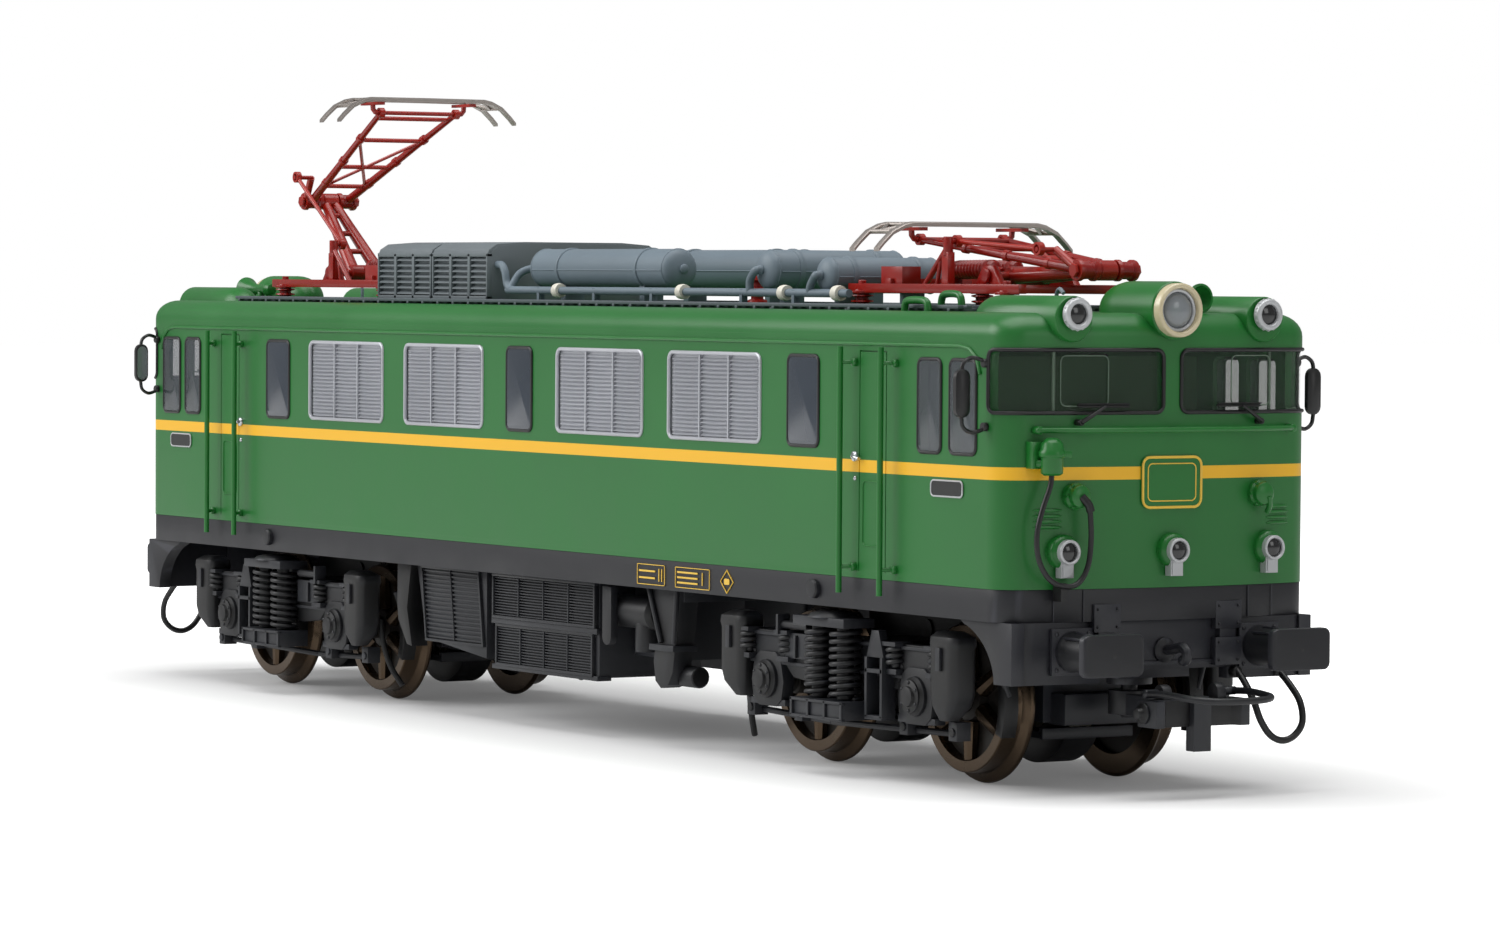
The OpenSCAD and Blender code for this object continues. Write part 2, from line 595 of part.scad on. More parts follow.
module wheel(k) {
    b = back_to_back / 2;
    translate([0, k * b, 0]) rotate([-90 * k, 0, 0]) rotate_extrude() polygon([[axle_r + e, 0],
        [flange_r - 0.25, 0], [flange_r, 0.35], [flange_r, 0.5], [tread_r + 0.15, 0.9], [tread_r, 1.2],
        [tread_r - 0.1, 2.8], [tread_r - 0.9, 2.8], [tread_r - 1.3, 2.1], [2.6, 1.9], [2.3, 2.8],
        [axle_r + e, 2.8]]);
}
module wheelset(x) {
    color("#6d635a") translate([x, 0, axle_z]) {
        wheel(1);
        wheel(-1);
        cy(-12.6, 12.6, 0, 0, axle_r);
        cog(axle_gear_r, 2.4, 21, axle_r + e);
    }
}
module wheelset_1() { wheelset(-pivot_x - ax); }
module wheelset_2() { wheelset(-pivot_x + ax); }
module wheelset_3() { wheelset(pivot_x - ax); }
module wheelset_4() { wheelset(pivot_x + ax); }

// bogies: drawn about their own pivot
module bogie_at(s) { translate([s * pivot_x, 0, 0]) rotate([0, 0, s < 0 ? 180 : 0]) children(); }
module bogie_frame(s) {
    color("#2b2c30") bogie_at(s) {
        difference() {
            union() {
                bx(-20, 20, -5.4, 5.4, 6.2, 12.6);
                bx(-10.6, 10.6, -5.4, 5.4, 12, worm_z + 1.6);
                cz(17.6, 19.2, 0, 0, turntable_r);
                sides() bx(-4.2, 4.2, 5.3, 14.1, 10.64, 13.2);
            }
            bx(-19, 19, -1.7, 1.7, 5, 13.4);
            bx(-9.4, 9.4, -3.1, 3.1, 4, worm_z + 3);
            cx(-12, 12, 0, worm_z, 2.75);
            for (x = [-ax, ax]) {
                cy(-8, 8, x, axle_z, axle_r + 0.06);
                bx(x - axle_r - 0.06, x + axle_r + 0.06, -8, 8, 5, axle_z);
                intersection() {
                    cy(-1.8, 1.8, x, axle_z, axle_gear_r + 0.4);
                    bx(x - 7, x + 7, -3, 3, 0, 14);
                }
            }
        }
        difference() {
            bx(-7.2, -5, -3.3, 3.3, worm_z - 3.1, worm_z + 1.6);
            cx(-8, -4, 0, worm_z, 2.56);
        }
        difference() {
            bx(8.4, 9.6, -3.3, 3.3, worm_z - 2, worm_z + 1.6);
            cx(8, 10, 0, worm_z, 0.95);
        }
        cy(-5.6, 5.6, 0, gear_z, 1);
    }
}
module bogie_frame_1() { bogie_frame(-1); }
module bogie_frame_2() { bogie_frame(1); }

module bogie_sides(s) {
    color("#34353a") bogie_at(s) sides() {
        difference() {
            bx(-19.6, 19.6, 14.12, 15.4, 9.6, 13.4);
            bx(-4.9, 4.9, 14.66, 16, 9, 14);
        }
        bx(-4.8, 4.8, 14.12, 14.66, 6, 13.4);
        for (x = [-ax, ax]) {
            bx(x - 2.6, x + 2.6, 14.12, 15.6, 6.4, 11.6);
            cy(15.5, 16.6, x, 8.6, 1.7);
            cy(16.5, 16.9, x, 8.6, 0.9);
            bx(x - 4.1, x - 3.2, 14.12, 16, 7, 12);
            bx(x + 3.2, x + 4.1, 14.12, 16, 7, 12);
        }
        for (k = [-1, 1]) {
            bx(k * 19.3 - 1.3, k * 19.3 + 1.3, 14.12, 16.2, 6.6, 14.6);
            bx(k * 6.4 - 0.9, k * 6.4 + 0.9, 14.12, 16.3, 6.4, 13.9);
        }
        for (i = [0:2]) bx(-4.9, 4.9, 14.5, 17.9, 5.9 + i * 0.55, 6.2 + i * 0.55);
        bx(-4.5, 4.5, 14.5, 17.6, 5.9, 7.3);
        for (x = [-ax, ax]) for (k = [-1, 1]) {
            bx(x + k * 9.6 - 0.5, x + k * 9.6 + 0.5, 11.2, 14.2, 9.8, 10.6);
            bx(x + k * 9.6 - 0.5, x + k * 9.6 + 0.5, 10.9, 11.7, 6.2, 10.6);
        }
    }
}
module bogie_sides_1() { bogie_sides(-1); }
module bogie_sides_2() { bogie_sides(1); }

// ribbed coil, rings on a core
module coil(x, y, z0, z1, r, n) {
    cz(z0, z1, x, y, r * 0.72);
    for (i = [0:n - 1]) {
        p = (z1 - z0) / n;
        cz(z0 + p * (i + 0.2), z0 + p * (i + 0.8), x, y, r);
    }
}
module bogie_springs(s) {
    color("#26272b") bogie_at(s) sides() {
        for (x = [-2.4, 2.4]) coil(x, 16.4, 7.32, 14.6, 1.7, 7);
        bx(-4.6, 4.6, 14.7, 17.8, 14.6, 15.6);
        for (x = [-ax - 3.65, -ax + 3.65, ax - 3.65, ax + 3.65]) coil(x, 15, 12.02 + 1.4, 15.2, 0.9, 3);
    }
}
module bogie_springs_1() { bogie_springs(-1); }
module bogie_springs_2() { bogie_springs(1); }

module gear_cover(s) {
    color("#222326") bogie_at(s) difference() {
        bx(-19.8, 19.8, -5.4, 5.4, 5, 6.18);
        for (x = [-ax, ax]) cy(-1.9, 1.9, x, axle_z, axle_gear_r + 0.4);
        cy(-3, 3, 0, gear_z, gear_r + 0.4);
        for (x = [-17.5, 17.5]) cz(4, 7, x, 4, 0.5);
    }
}
module gear_cover_1() { gear_cover(-1); }
module gear_cover_2() { gear_cover(1); }

module circuit_board() {
    color("#1f5a3a") {
        bx(-38, 38, -9.4, 9.4, 37, 38.2);
        for (x = [-28, -8, 8, 26]) bx(x - 4, x + 4, -5, 5, 38.15, 40);
    }
    color("#1f5a3a") for (x = [-34, 34]) cz(36 + e, 37.05, x, 7.5, 1.6);
}
module cab_interiors() {
    color("#4a4640") ends() {
        bx(75.6, 89.6, -15.6, 15.6, 19.62, 26);
        bx(84.8, 90, -15.4, 15.4, 26, 31.4);
        for (y = [-8.5, 8.5]) {
            bx(78, 81.6, y - 2, y + 2, 26, 29);
            bx(77.2, 78.2, y - 2, y + 2, 26, 33.5);
        }
        bx(74.6, 75.6, -15.6, 15.6, 19.62, 41);
    }
}

// boxes and tanks hung under the floor
module underfloor_boxes() {
    color("#2b2c30") sides() {
        bx(-9.5, 13, 3, 15.4, 6.4, 17.18);
        for (i = [0:3]) bx(-8.9 + i * 5.4, -4.1 + i * 5.4, 15.3, 16, 11.8, 15.8);
        for (i = [0:3]) bx(-8.9 + i * 5.4, -4.1 + i * 5.4, 15.3, 15.8, 6.8, 10.8);
        translate([-11, 15.8, 7]) rotate([90, 0, 0]) linear_extrude(12)
            polygon([[0, 0], [0, 10.18], [-16, 10.18], [-16, 6.4], [-13, 1.2]]);
        bx(13.6, 23.4, 4, 12.4, 9, 17.18);
        cx(13.6, 23, 14.2, 11.4, 1.7);
        translate([23.6, 16.2, 6.4]) rotate([90, 0, 0]) linear_extrude(2.4)
            polygon([[0.4, 9], [7.4, 9], [6.6, 5], [4.8, 0.6], [2.4, 0], [1.6, 2.4], [2.4, 5.4]]);
        bx(24.4, 30.6, 6, 16, 15.3, 17.18);
        bx(-31, -28.4, 8, 16, 9.6, 17.18);
    }
    color("#2b2c30") bx(-26, 23, -4.2, 4.2, 12, 17.18);
}
module buffer_housings() {
    color("#2f3035") ends() sides() {
        bx(92.42, 93.1, buffer_y - 2.2, buffer_y + 2.2, buffer_z - 2.1, buffer_z + 2.1);
        difference() {
            cx(93, 96.4, buffer_y, buffer_z, 1.75);
            cx(94, 97, buffer_y, buffer_z, 1.27);
        }
        cx(90.6, 93.2, buffer_y, buffer_z, 1.08);
    }
}
module buffer_heads() {
    color("#2b2c31") ends() sides() {
        cx(94.1, 98.5, buffer_y, buffer_z, 1.25);
        translate([98.35, buffer_y, buffer_z]) rotate([90, 0, 90]) linear_extrude(buffer_face_x - 98.35)
            polygon(rrect(6.84, 3.96, 0.9));
    }
}
module body_screws() {
    color("#9a9ca0") {
        for (s = [-1, 1]) {
            cz(15.4, 17.18, s * end_screw_x, 0, 1.8);
            cz(17.1, 19.58, s * end_screw_x, 0, 1);
            for (k = [-1, 1]) {
                cz(16.4, 17.18, s * side_screw[0], k * side_screw[1], 1.3);
                cz(17.1, 20.5, s * side_screw[0], k * side_screw[1], 0.8);
            }
        }
    }
}

// close coupling with its lifting loop
module coupler_head(s) {
    color("#1c1d20") rotate([0, 0, s < 0 ? 180 : 0]) {
        difference() {
            union() {
                cz(7.3, 9.6, coupler_x, 0, 2);
                bx(coupler_x, 95.6, -1.4, 1.4, 7.3, 9.3);
            }
            cz(6, 11, coupler_x, 0, 0.85);
        }
        difference() {
            bx(95.4, 98.4, -5.4, 5.4, 6.9, 9.4);
            bx(96.6, 99, -4.3, 4.3, 6.5, 8.2);
        }
        bx(97, 98.2, -0.9, 0.9, 4.6, 8.3);
        for (k = [-1, 1]) bx(95.6, 96.9, k * 3.1 - 0.5, k * 3.1 + 0.5, 9.3, 10.6);
    }
}
module coupler_head_1() { coupler_head(-1); }
module coupler_head_2() { coupler_head(1); }
module coupler_loop(s) {
    color("#1c1d20") rotate([0, 0, s < 0 ? 180 : 0]) {
        cy(-5.2, -3.75, 96.25, 10, 0.38);
        cy(3.75, 5.2, 96.25, 10, 0.38);
        wire([[96.25, -4.9, 10], [103.4, -4.9, 9.9], [104.4, -3.6, 9.8], [104.4, 3.6, 9.8],
            [103.4, 4.9, 9.9], [96.25, 4.9, 10]], 0.38);
    }
}
module coupler_loop_1() { coupler_loop(-1); }
module coupler_loop_2() { coupler_loop(1); }

body_shell();
sole_band();
end_beams();
window_glass();
window_rubbers();
side_grilles();
handrails();
mirrors();
wipers();
lamp_housings();
lamp_rings();
lamp_lenses();
jumper_sockets();
jumper_cables();
brake_hoses();
roof_walkways();
ventilator_boxes();
air_tanks();
roof_pipes();
roof_insulators();
horns();
pantograph_frames();
chassis_frame();
motor_housing();
circuit_board();
cab_interiors();
underfloor_boxes();
buffer_housings();
buffer_heads();
body_screws();
lower_arm_1();
upper_arm_1();
pan_head_1();
guide_rod_1();
lower_arm_2();
upper_arm_2();
pan_head_2();
guide_rod_2();
motor_rotor();
cardan_shafts();
worm_1();
worm_2();
drive_gear_1();
drive_gear_2();
wheelset_1();
wheelset_2();
wheelset_3();
wheelset_4();
bogie_frame_1();
bogie_frame_2();
bogie_sides_1();
bogie_sides_2();
bogie_springs_1();
bogie_springs_2();
gear_cover_1();
gear_cover_2();
coupler_head_1();
coupler_head_2();
coupler_loop_1();
coupler_loop_2();
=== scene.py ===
"""Model electric locomotive: the looks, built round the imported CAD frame."""
import json
import math

import bmesh
import bpy
from mathutils import Matrix, Vector

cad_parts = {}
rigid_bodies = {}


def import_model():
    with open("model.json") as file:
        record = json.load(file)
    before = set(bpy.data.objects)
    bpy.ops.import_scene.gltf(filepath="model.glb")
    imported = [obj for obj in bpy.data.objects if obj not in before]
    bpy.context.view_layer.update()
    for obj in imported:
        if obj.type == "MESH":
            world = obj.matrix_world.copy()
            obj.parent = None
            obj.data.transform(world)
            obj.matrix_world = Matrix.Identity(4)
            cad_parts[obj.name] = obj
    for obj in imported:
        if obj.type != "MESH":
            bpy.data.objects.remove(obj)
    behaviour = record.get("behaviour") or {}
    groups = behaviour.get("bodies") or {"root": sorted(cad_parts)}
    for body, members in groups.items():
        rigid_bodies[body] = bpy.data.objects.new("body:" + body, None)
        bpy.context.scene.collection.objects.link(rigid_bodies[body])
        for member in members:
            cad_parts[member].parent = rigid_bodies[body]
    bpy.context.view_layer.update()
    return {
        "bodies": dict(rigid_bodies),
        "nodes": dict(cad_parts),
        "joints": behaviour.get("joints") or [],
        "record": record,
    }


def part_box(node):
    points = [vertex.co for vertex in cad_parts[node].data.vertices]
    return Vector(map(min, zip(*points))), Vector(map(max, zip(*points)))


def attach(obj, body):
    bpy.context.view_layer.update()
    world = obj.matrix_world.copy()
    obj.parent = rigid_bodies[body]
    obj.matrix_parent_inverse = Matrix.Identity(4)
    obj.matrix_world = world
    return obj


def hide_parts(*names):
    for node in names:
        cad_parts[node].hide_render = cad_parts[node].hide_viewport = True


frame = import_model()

MM = 0.001
V = Vector
X, Y, Z = (1, 0, 0), (0, 1, 0), (0, 0, 1)

# sizes, in millimetres, from the frame


def node_box(name):
    low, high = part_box(name)
    return low / MM, high / MM


SHELL_LOW, SHELL_HIGH = node_box("body_shell")
SOLE_LOW = node_box("sole_band")[0]
BOW = 1.5
HALF_L = SHELL_HIGH.x - BOW
HALF_W = 17.86
CORNER = 3.0
BODY_Z0 = SHELL_LOW.z
ROOF_Z = SHELL_HIGH.z
GUTTER_Z = 42.2
SHOULDER = (2.5, 2.2)
SOLE_Z0 = SOLE_LOW.z
STRIPE = (29.8, 31.0)
WIN_Z = (31.9, 41.0)
SIDE_WINDOWS = [(-56.6, 5.9), (0, 5.7), (56.6, 5.9), (78.9, 4.2), (84.55, 4.7), (-78.9, 4.2), (-84.55, 4.7)]
GRILLES = (-39.8, -16.9, 16.9, 39.8)
GRILLE_W = 18.0
GRILLE_Z = (32.0, 41.0)
RAILS = (65.3, 72.45)
LAMPS_LOW = (-11.8, 0.0, 11.8)
AXLE_Z = 8.2
HALF_BASE = 13.4
PIVOT = 60.03
BUFFER_Y = 10.77
BUFFER_Z = 13.85
BUFFER_X = 99.25

# placing copies

ONCE = [Matrix.Identity(4)]
MIRROR_Y = Matrix.Diagonal((1, -1, 1, 1))
MIRROR_X = Matrix.Diagonal((-1, 1, 1, 1))
TURN = Matrix.Diagonal((-1, -1, 1, 1))
SIDES = [ONCE[0], MIRROR_Y]
ENDS = [ONCE[0], TURN]
QUADS = [ONCE[0], MIRROR_Y, MIRROR_X, TURN]


def moved(x=0.0, y=0.0, z=0.0):
    return Matrix.Translation((x, y, z))


# materials


def srgb(r, g, b):
    return tuple(((c / 255 + 0.055) / 1.055) ** 2.4 if c > 10 else c / 255 / 12.92
                 for c in (r, g, b)) + (1.0,)


def new_material(name):
    mat = bpy.data.materials.new(name)
    mat.use_nodes = True
    tree = mat.node_tree
    return mat, tree, tree.nodes["Principled BSDF"]


def add_node(tree, kind, values=None, **settings):
    """New shader node with some settings and input values."""
    node = tree.nodes.new("ShaderNode" + kind)
    for key, value in settings.items():
        setattr(node, key, value)
    for key, value in (values or {}).items():
        node.inputs[key].default_value = value
    return node


def object_noise(tree, scale, detail, rough=0.6):
    noise = add_node(tree, "TexNoise", {"Scale": scale, "Detail": detail, "Roughness": rough})
    tree.links.new(add_node(tree, "TexCoord").outputs["Object"], noise.inputs["Vector"])
    return noise.outputs["Fac"]


def ramp(tree, source, low, high, left=0.3, right=0.7):
    node = add_node(tree, "ValToRGB")
    for stop, place, color in zip(node.color_ramp.elements, (left, right), (low, high)):
        stop.position = place
        stop.color = color
    tree.links.new(source, node.inputs["Fac"])
    return node.outputs["Color"]


def blend(tree, factor, under, over):
    mix = add_node(tree, "Mix", data_type="RGBA")
    tree.links.new(factor, mix.inputs["Factor"])
    tree.links.new(under, mix.inputs["A"])
    mix.inputs["B"].default_value = over
    return mix.outputs["Result"]


def shade(color, k):
    return tuple(min(1.0, c * k) for c in color[:3]) + (1.0,)


def coated(name, color, rough=0.4, metallic=0.0, spread=0.12, grain=900.0, bump=0.25, coat=0.0, wear=None):
    """A painted or moulded surface: mottled colour, uneven gloss, fine grain and worn edges."""
    mat, tree, shader = new_material(name)
    for key, value in (("Metallic", metallic), ("Coat Weight", coat), ("Coat Roughness", 0.2)):
        shader.inputs[key].default_value = value
    broad = object_noise(tree, 60.0, 3.0)
    colour = ramp(tree, broad, shade(color, 1 - spread), shade(color, 1 + spread))
    if wear:
        bend = add_node(tree, "NewGeometry").outputs["Pointiness"]
        colour = blend(tree, ramp(tree, bend, (0, 0, 0, 1), (1, 1, 1, 1), 0.53, 0.62), colour, wear)
    tree.links.new(colour, shader.inputs["Base Color"])
    fine = object_noise(tree, grain, 5.0, 0.7)
    gloss = ramp(tree, broad, *(shade((rough,) * 3, k) for k in (0.85, 1.2)))
    tree.links.new(gloss, shader.inputs["Roughness"])
    relief = add_node(tree, "Bump", {"Strength": bump, "Distance": 0.00002})
    tree.links.new(fine, relief.inputs["Height"])
    tree.links.new(relief.outputs["Normal"], shader.inputs["Normal"])
    return mat


def striped_paint(name, color, stripe):
    """The body paint with the waist stripe printed between two heights."""
    mat = coated(name, color, rough=0.36, spread=0.05, grain=1500.0, bump=0.12)
    tree = mat.node_tree
    base = tree.nodes["Principled BSDF"].inputs["Base Color"]
    split = add_node(tree, "SeparateXYZ")
    tree.links.new(add_node(tree, "TexCoord").outputs["Object"], split.inputs["Vector"])
    edges = [add_node(tree, "Math", {1: z * MM}, operation=test) for z,
             test in zip(STRIPE, ("GREATER_THAN", "LESS_THAN"))]
    both = add_node(tree, "Math", operation="MULTIPLY")
    for i, edge in enumerate(edges):
        tree.links.new(split.outputs["Z"], edge.inputs[0])
        tree.links.new(edge.outputs["Value"], both.inputs[i])
    tree.links.new(blend(tree, both.outputs["Value"], base.links[0].from_socket, stripe), base)
    return mat


def clear_glass(name, tint, alpha=0.35, rough=0.04):
    """Tinted pane that lets the inside show through."""
    mat = coated(name, tint, rough=rough, spread=0.08, bump=0.02, coat=1.0)
    mat.node_tree.nodes["Principled BSDF"].inputs["Alpha"].default_value = alpha
    return mat


GREEN = striped_paint("green_body_paint", srgb(26, 104, 40), srgb(236, 180, 30))
GREEN_TRIM = coated("green_trim", srgb(24, 106, 38), rough=0.34, spread=0.06, bump=0.12)
DARK = coated("dark_frame", srgb(16, 17, 22), rough=0.5, spread=0.1, wear=srgb(46, 47, 54))
BLACK = coated("black_plastic", srgb(9, 9, 11), rough=0.46, spread=0.14, wear=srgb(44, 46, 52))
DEEP = coated("deep_black", srgb(22, 22, 24), rough=0.5, spread=0.15)
RUBBER = coated("black_rubber", srgb(20, 20, 21), rough=0.42, spread=0.1)
SILVER = coated("grille_silver", srgb(182, 184, 190), rough=0.38, metallic=0.35, spread=0.05)
WHITE_TRIM = coated("silver_trim", srgb(186, 188, 190), rough=0.3, metallic=0.25, spread=0.08)
CREAM = coated("cream_trim", srgb(202, 190, 156), rough=0.24, spread=0.06, coat=0.4)
ROOF_GREY = coated("roof_grey", srgb(104, 118, 128), rough=0.5, spread=0.07, bump=0.2)
DUCT_GREY = coated("duct_grey", srgb(98, 106, 110), rough=0.52, spread=0.07)
WALK_GREY = coated("walkway_grey", srgb(84, 92, 98), rough=0.55, spread=0.08)
RED = coated("signal_red", srgb(136, 14, 8), rough=0.26, spread=0.08, bump=0.12, wear=srgb(160, 34, 22))
STEEL = coated("strip_steel", srgb(170, 162, 156), rough=0.34, metallic=0.85, spread=0.1)
WHEEL = coated("wheel_metal", srgb(84, 70, 56), rough=0.26, metallic=0.9, spread=0.18, grain=2500.0)
WHEEL_DARK = coated("wheel_centre", srgb(48, 45, 42), rough=0.4, metallic=0.4, spread=0.2)
YELLOW = coated("yellow_print", srgb(232, 190, 70), rough=0.4, spread=0.05)
PLATE = coated("number_plate", srgb(28, 30, 30), rough=0.4, spread=0.08)
CHROME = coated("bright_metal", srgb(205, 207, 212), rough=0.22, metallic=0.9, spread=0.05)
LENS = clear_glass("lens_glass", srgb(140, 146, 150), 0.75, 0.08)
LENS_DARK = coated("dark_lens", srgb(16, 16, 18), rough=0.08, spread=0.2, bump=0.02, coat=0.6)
GLASS = clear_glass("pane_glass", srgb(60, 84, 66), 0.2)
CAB_GLASS = clear_glass("cab_glass", srgb(96, 102, 108), 0.45)
PANE_FRAME = coated("pane_frame", srgb(96, 116, 98), rough=0.3, spread=0.08)
PANE_GREY = coated("grey_glazing", srgb(48, 56, 66), rough=0.12, spread=0.12, bump=0.03, coat=0.5)
CAST = coated("cast_metal", srgb(84, 86, 90), rough=0.6, metallic=0.5, spread=0.12, grain=1400.0, bump=0.5)
BRASS = coated("brass", srgb(196, 160, 92), rough=0.3, metallic=0.9, spread=0.08)
NYLON = coated("white_nylon", srgb(222, 218, 204), rough=0.45, spread=0.04)
BOARD = coated("board_green", srgb(24, 84, 52), rough=0.35, spread=0.12)
CAB = coated("cab_trim", srgb(74, 104, 66), rough=0.55, spread=0.1)

# mesh parts, in millimetres


class Part:
    """Gathers solids in millimetres; face material m counts into the piece's list of materials."""

    def __init__(self):
        self.bm = bmesh.new()

    def _mark(self, faces, m):
        for face in faces:
            face.material_index = m

    def box(self, x0, x1, y0, y1, z0, z1, m=0):
        corners = [(x, y, z) for z in (z0, z1) for x, y in ((x0, y0), (x1, y0), (x1, y1), (x0, y1))]
        v = [self.bm.verts.new(c) for c in corners]
        quads = ((3, 2, 1, 0), (4, 5, 6, 7), (0, 1, 5, 4), (1, 2, 6, 5), (2, 3, 7, 6), (3, 0, 4, 7))
        self._mark([self.bm.faces.new([v[i] for i in q]) for q in quads], m)
        return self

    def lathe(self, profile, base, axis, n=32, m=0):
        """Turns (radius, height) points about an axis through base; end radii of 0 close to a point."""
        axis = V(axis).normalized()
        side = axis.orthogonal().normalized()
        other = axis.cross(side)
        rings = []
        for r, h in profile:
            centre = V(base) + axis * h
            if r < 1e-6:
                rings.append([self.bm.verts.new(centre)])
                continue
            ring = [self.bm.verts.new(centre + (side * math.cos(a) + other * math.sin(a)) * r)
                    for a in (2 * math.pi * i / n for i in range(n))]
            rings.append(ring)
        faces = []
        for a, b in zip(rings, rings[1:]):
            for i in range(n):
                j = (i + 1) % n
                if len(a) == 1 and len(b) == 1:
                    continue
                if len(a) == 1:
                    faces.append(self.bm.faces.new((a[0], b[j], b[i])))
                elif len(b) == 1:
                    faces.append(self.bm.faces.new((a[i], a[j], b[0])))
                else:
                    faces.append(self.bm.faces.new((a[i], a[j], b[j], b[i])))
        if len(rings[0]) > 1:
            faces.append(self.bm.faces.new(list(reversed(rings[0]))))
        if len(rings[-1]) > 1:
            faces.append(self.bm.faces.new(rings[-1]))
        self._mark(faces, m)
        return self

    def bar(self, p, q, r, r2=None, n=16, m=0):
        """Round bar from p to q with small chamfered ends."""
        p, q = V(p), V(q)
        length = (q - p).length
        r2 = r if r2 is None else r2
        c = min(0.12 * r, 0.2 * length)
        return self.lathe([(r - c, 0), (r, c), (r2, length - c), (r2 - c, length)], p, q - p, n, m)

    def ball(self, centre, r, n=16, m=0, stretch=(1, 1, 1)):
        made = bmesh.ops.create_uvsphere(self.bm, u_segments=n, v_segments=n // 2, radius=r)
        matrix = Matrix.Translation(centre) @ Matrix.Diagonal((*stretch, 1))
        bmesh.ops.transform(self.bm, matrix=matrix, verts=made["verts"])
        self._mark({f for v in made["verts"] for f in v.link_faces}, m)
        return self

    def tube(self, points, r, n=10, m=0, closed=False, radii=None):
        """Sweeps a round section along points; ends are closed."""
        pts = [V(p) for p in points]
        count = len(pts)
        rings = []
        side = None
        for i, p in enumerate(pts):
            a = pts[(i - 1) % count] if closed or i > 0 else p
            b = pts[(i + 1) % count] if closed or i < count - 1 else p
            along = (b - a).normalized()
            side = along.orthogonal() if side is None else side - along * side.dot(along)
            side.normalize()
            other = along.cross(side)
            rr = radii[i] if radii else r
            rings.append([self.bm.verts.new(p + (side * math.cos(t) + other * math.sin(t)) * rr)
                          for t in (2 * math.pi * k / n for k in range(n))])
        pairs = list(zip(rings, rings[1:]))
        faces = [self.bm.faces.new((a[i], a[(i + 1) % n], b[(i + 1) % n], b[i]))
                 for a, b in pairs for i in range(n)]
        if closed:
            a, b = rings[-1], rings[0]
            shift = min(range(n), key=lambda s: sum((a[i].co - b[(i + s) % n].co).length for i in range(n)))
            faces += [self.bm.faces.new((a[i], a[(i + 1) % n], b[(i + 1 + shift) % n], b[(i + shift) % n]))
                      for i in range(n)]
        else:
            faces += [self.bm.faces.new(list(reversed(rings[0]))), self.bm.faces.new(rings[-1])]
        self._mark(faces, m)
        return self

    def prism(self, outline, origin, u, v, depth, m=0):
        """Extrudes a flat outline (a, b) in the plane of u and v by depth along their normal."""
        u, v, origin = V(u), V(v), V(origin)
        w = u.cross(v).normalized()
        if depth < 0:
            outline = list(reversed(outline))
            depth, w = -depth, -w
        low = [self.bm.verts.new(origin + u * a + v * b) for a, b in outline]
        high = [self.bm.verts.new(x.co + w * depth) for x in low]
        k = len(low)
        faces = [self.bm.faces.new((low[i], low[(i + 1) % k], high[(i + 1) % k], high[i])) for i in range(k)]
        faces += [self.bm.faces.new(list(reversed(low))), self.bm.faces.new(high)]
        self._mark(faces, m)
        return self

    def loft(self, rings, m=0, closed=True, caps=True):
        rows = [[self.bm.verts.new(p) for p in ring] for ring in rings]
        n = len(rows[0])
        span = n if closed else n - 1
        faces = [self.bm.faces.new((a[i], a[(i + 1) % n], b[(i + 1) % n], b[i]))
                 for a, b in zip(rows, rows[1:]) for i in range(span)]
        if caps:
            faces += [self.bm.faces.new(list(reversed(rows[0]))), self.bm.faces.new(rows[-1])]
        self._mark(faces, m)
        return self

    def add(self, other, places=ONCE):
        """Adds copies of another part, which is used up."""
        mesh = bpy.data.meshes.new("copy")
        other.bm.to_mesh(mesh)
        for place in places:
            copy = mesh.copy()
            copy.transform(place)
            if place.determinant() < 0:
                copy.flip_normals()
            self.bm.from_mesh(copy)
            bpy.data.meshes.remove(copy)
        bpy.data.meshes.remove(mesh)
        other.bm.free()
        return self


def arc(cx, cy, r, a0, a1, n=6):
    return [(cx + r * math.cos(math.radians(a0 + (a1 - a0) * i / n)),
             cy + r * math.sin(math.radians(a0 + (a1 - a0) * i / n))) for i in range(n + 1)]


def round_rect(w, h, r, n=6):
    x, y = w / 2 - r, h / 2 - r
    return arc(x, y, r, 0, 90, n) + arc(-x, y, r, 90, 180, n) + arc(-x, -y, r, 180, 270, n) + arc(x, -y, r,
                                                                                                  270, 360, n)


def smooth_path(points, steps=8, closed=False):
    """Catmull-Rom curve through the points."""
    pts = [V(p) for p in points]
    n = len(pts)
    out = []
    for i in range(n if closed else n - 1):
        p0 = pts[(i - 1) % n] if closed or i > 0 else pts[0] * 2 - pts[1]
        p1, p2 = pts[i], pts[(i + 1) % n]
        p3 = pts[(i + 2) % n] if closed or i < n - 2 else pts[-1] * 2 - pts[-2]
        for s in range(steps):
            t = s / steps
            out.append(0.5 * ((2 * p1) + (p2 - p0) * t + (2 * p0 - 5 * p1 + 4 * p2 - p3) * t ** 2
                              + (3 * p1 - p0 - 3 * p2 + p3) * t ** 3))
    return out if closed else out + [pts[-1]]


def finish_mesh(obj, angle=32.0):
    obj.data.polygons.foreach_set("use_smooth", [True] * len(obj.data.polygons))
    obj.data.set_sharp_from_angle(angle=math.radians(angle))


def bake_modifiers(obj):
    """Applies the modifiers, so that the piece is one plain mesh."""
    graph = bpy.context.evaluated_depsgraph_get()
    mesh = bpy.data.meshes.new_from_object(obj.evaluated_get(graph))
    old = obj.data
    obj.modifiers.clear()
    obj.data = mesh
    bpy.data.meshes.remove(old)
    return obj


def new_object(name, data):
    obj = bpy.data.objects.new(name, data)
    bpy.context.scene.collection.objects.link(obj)
    return obj


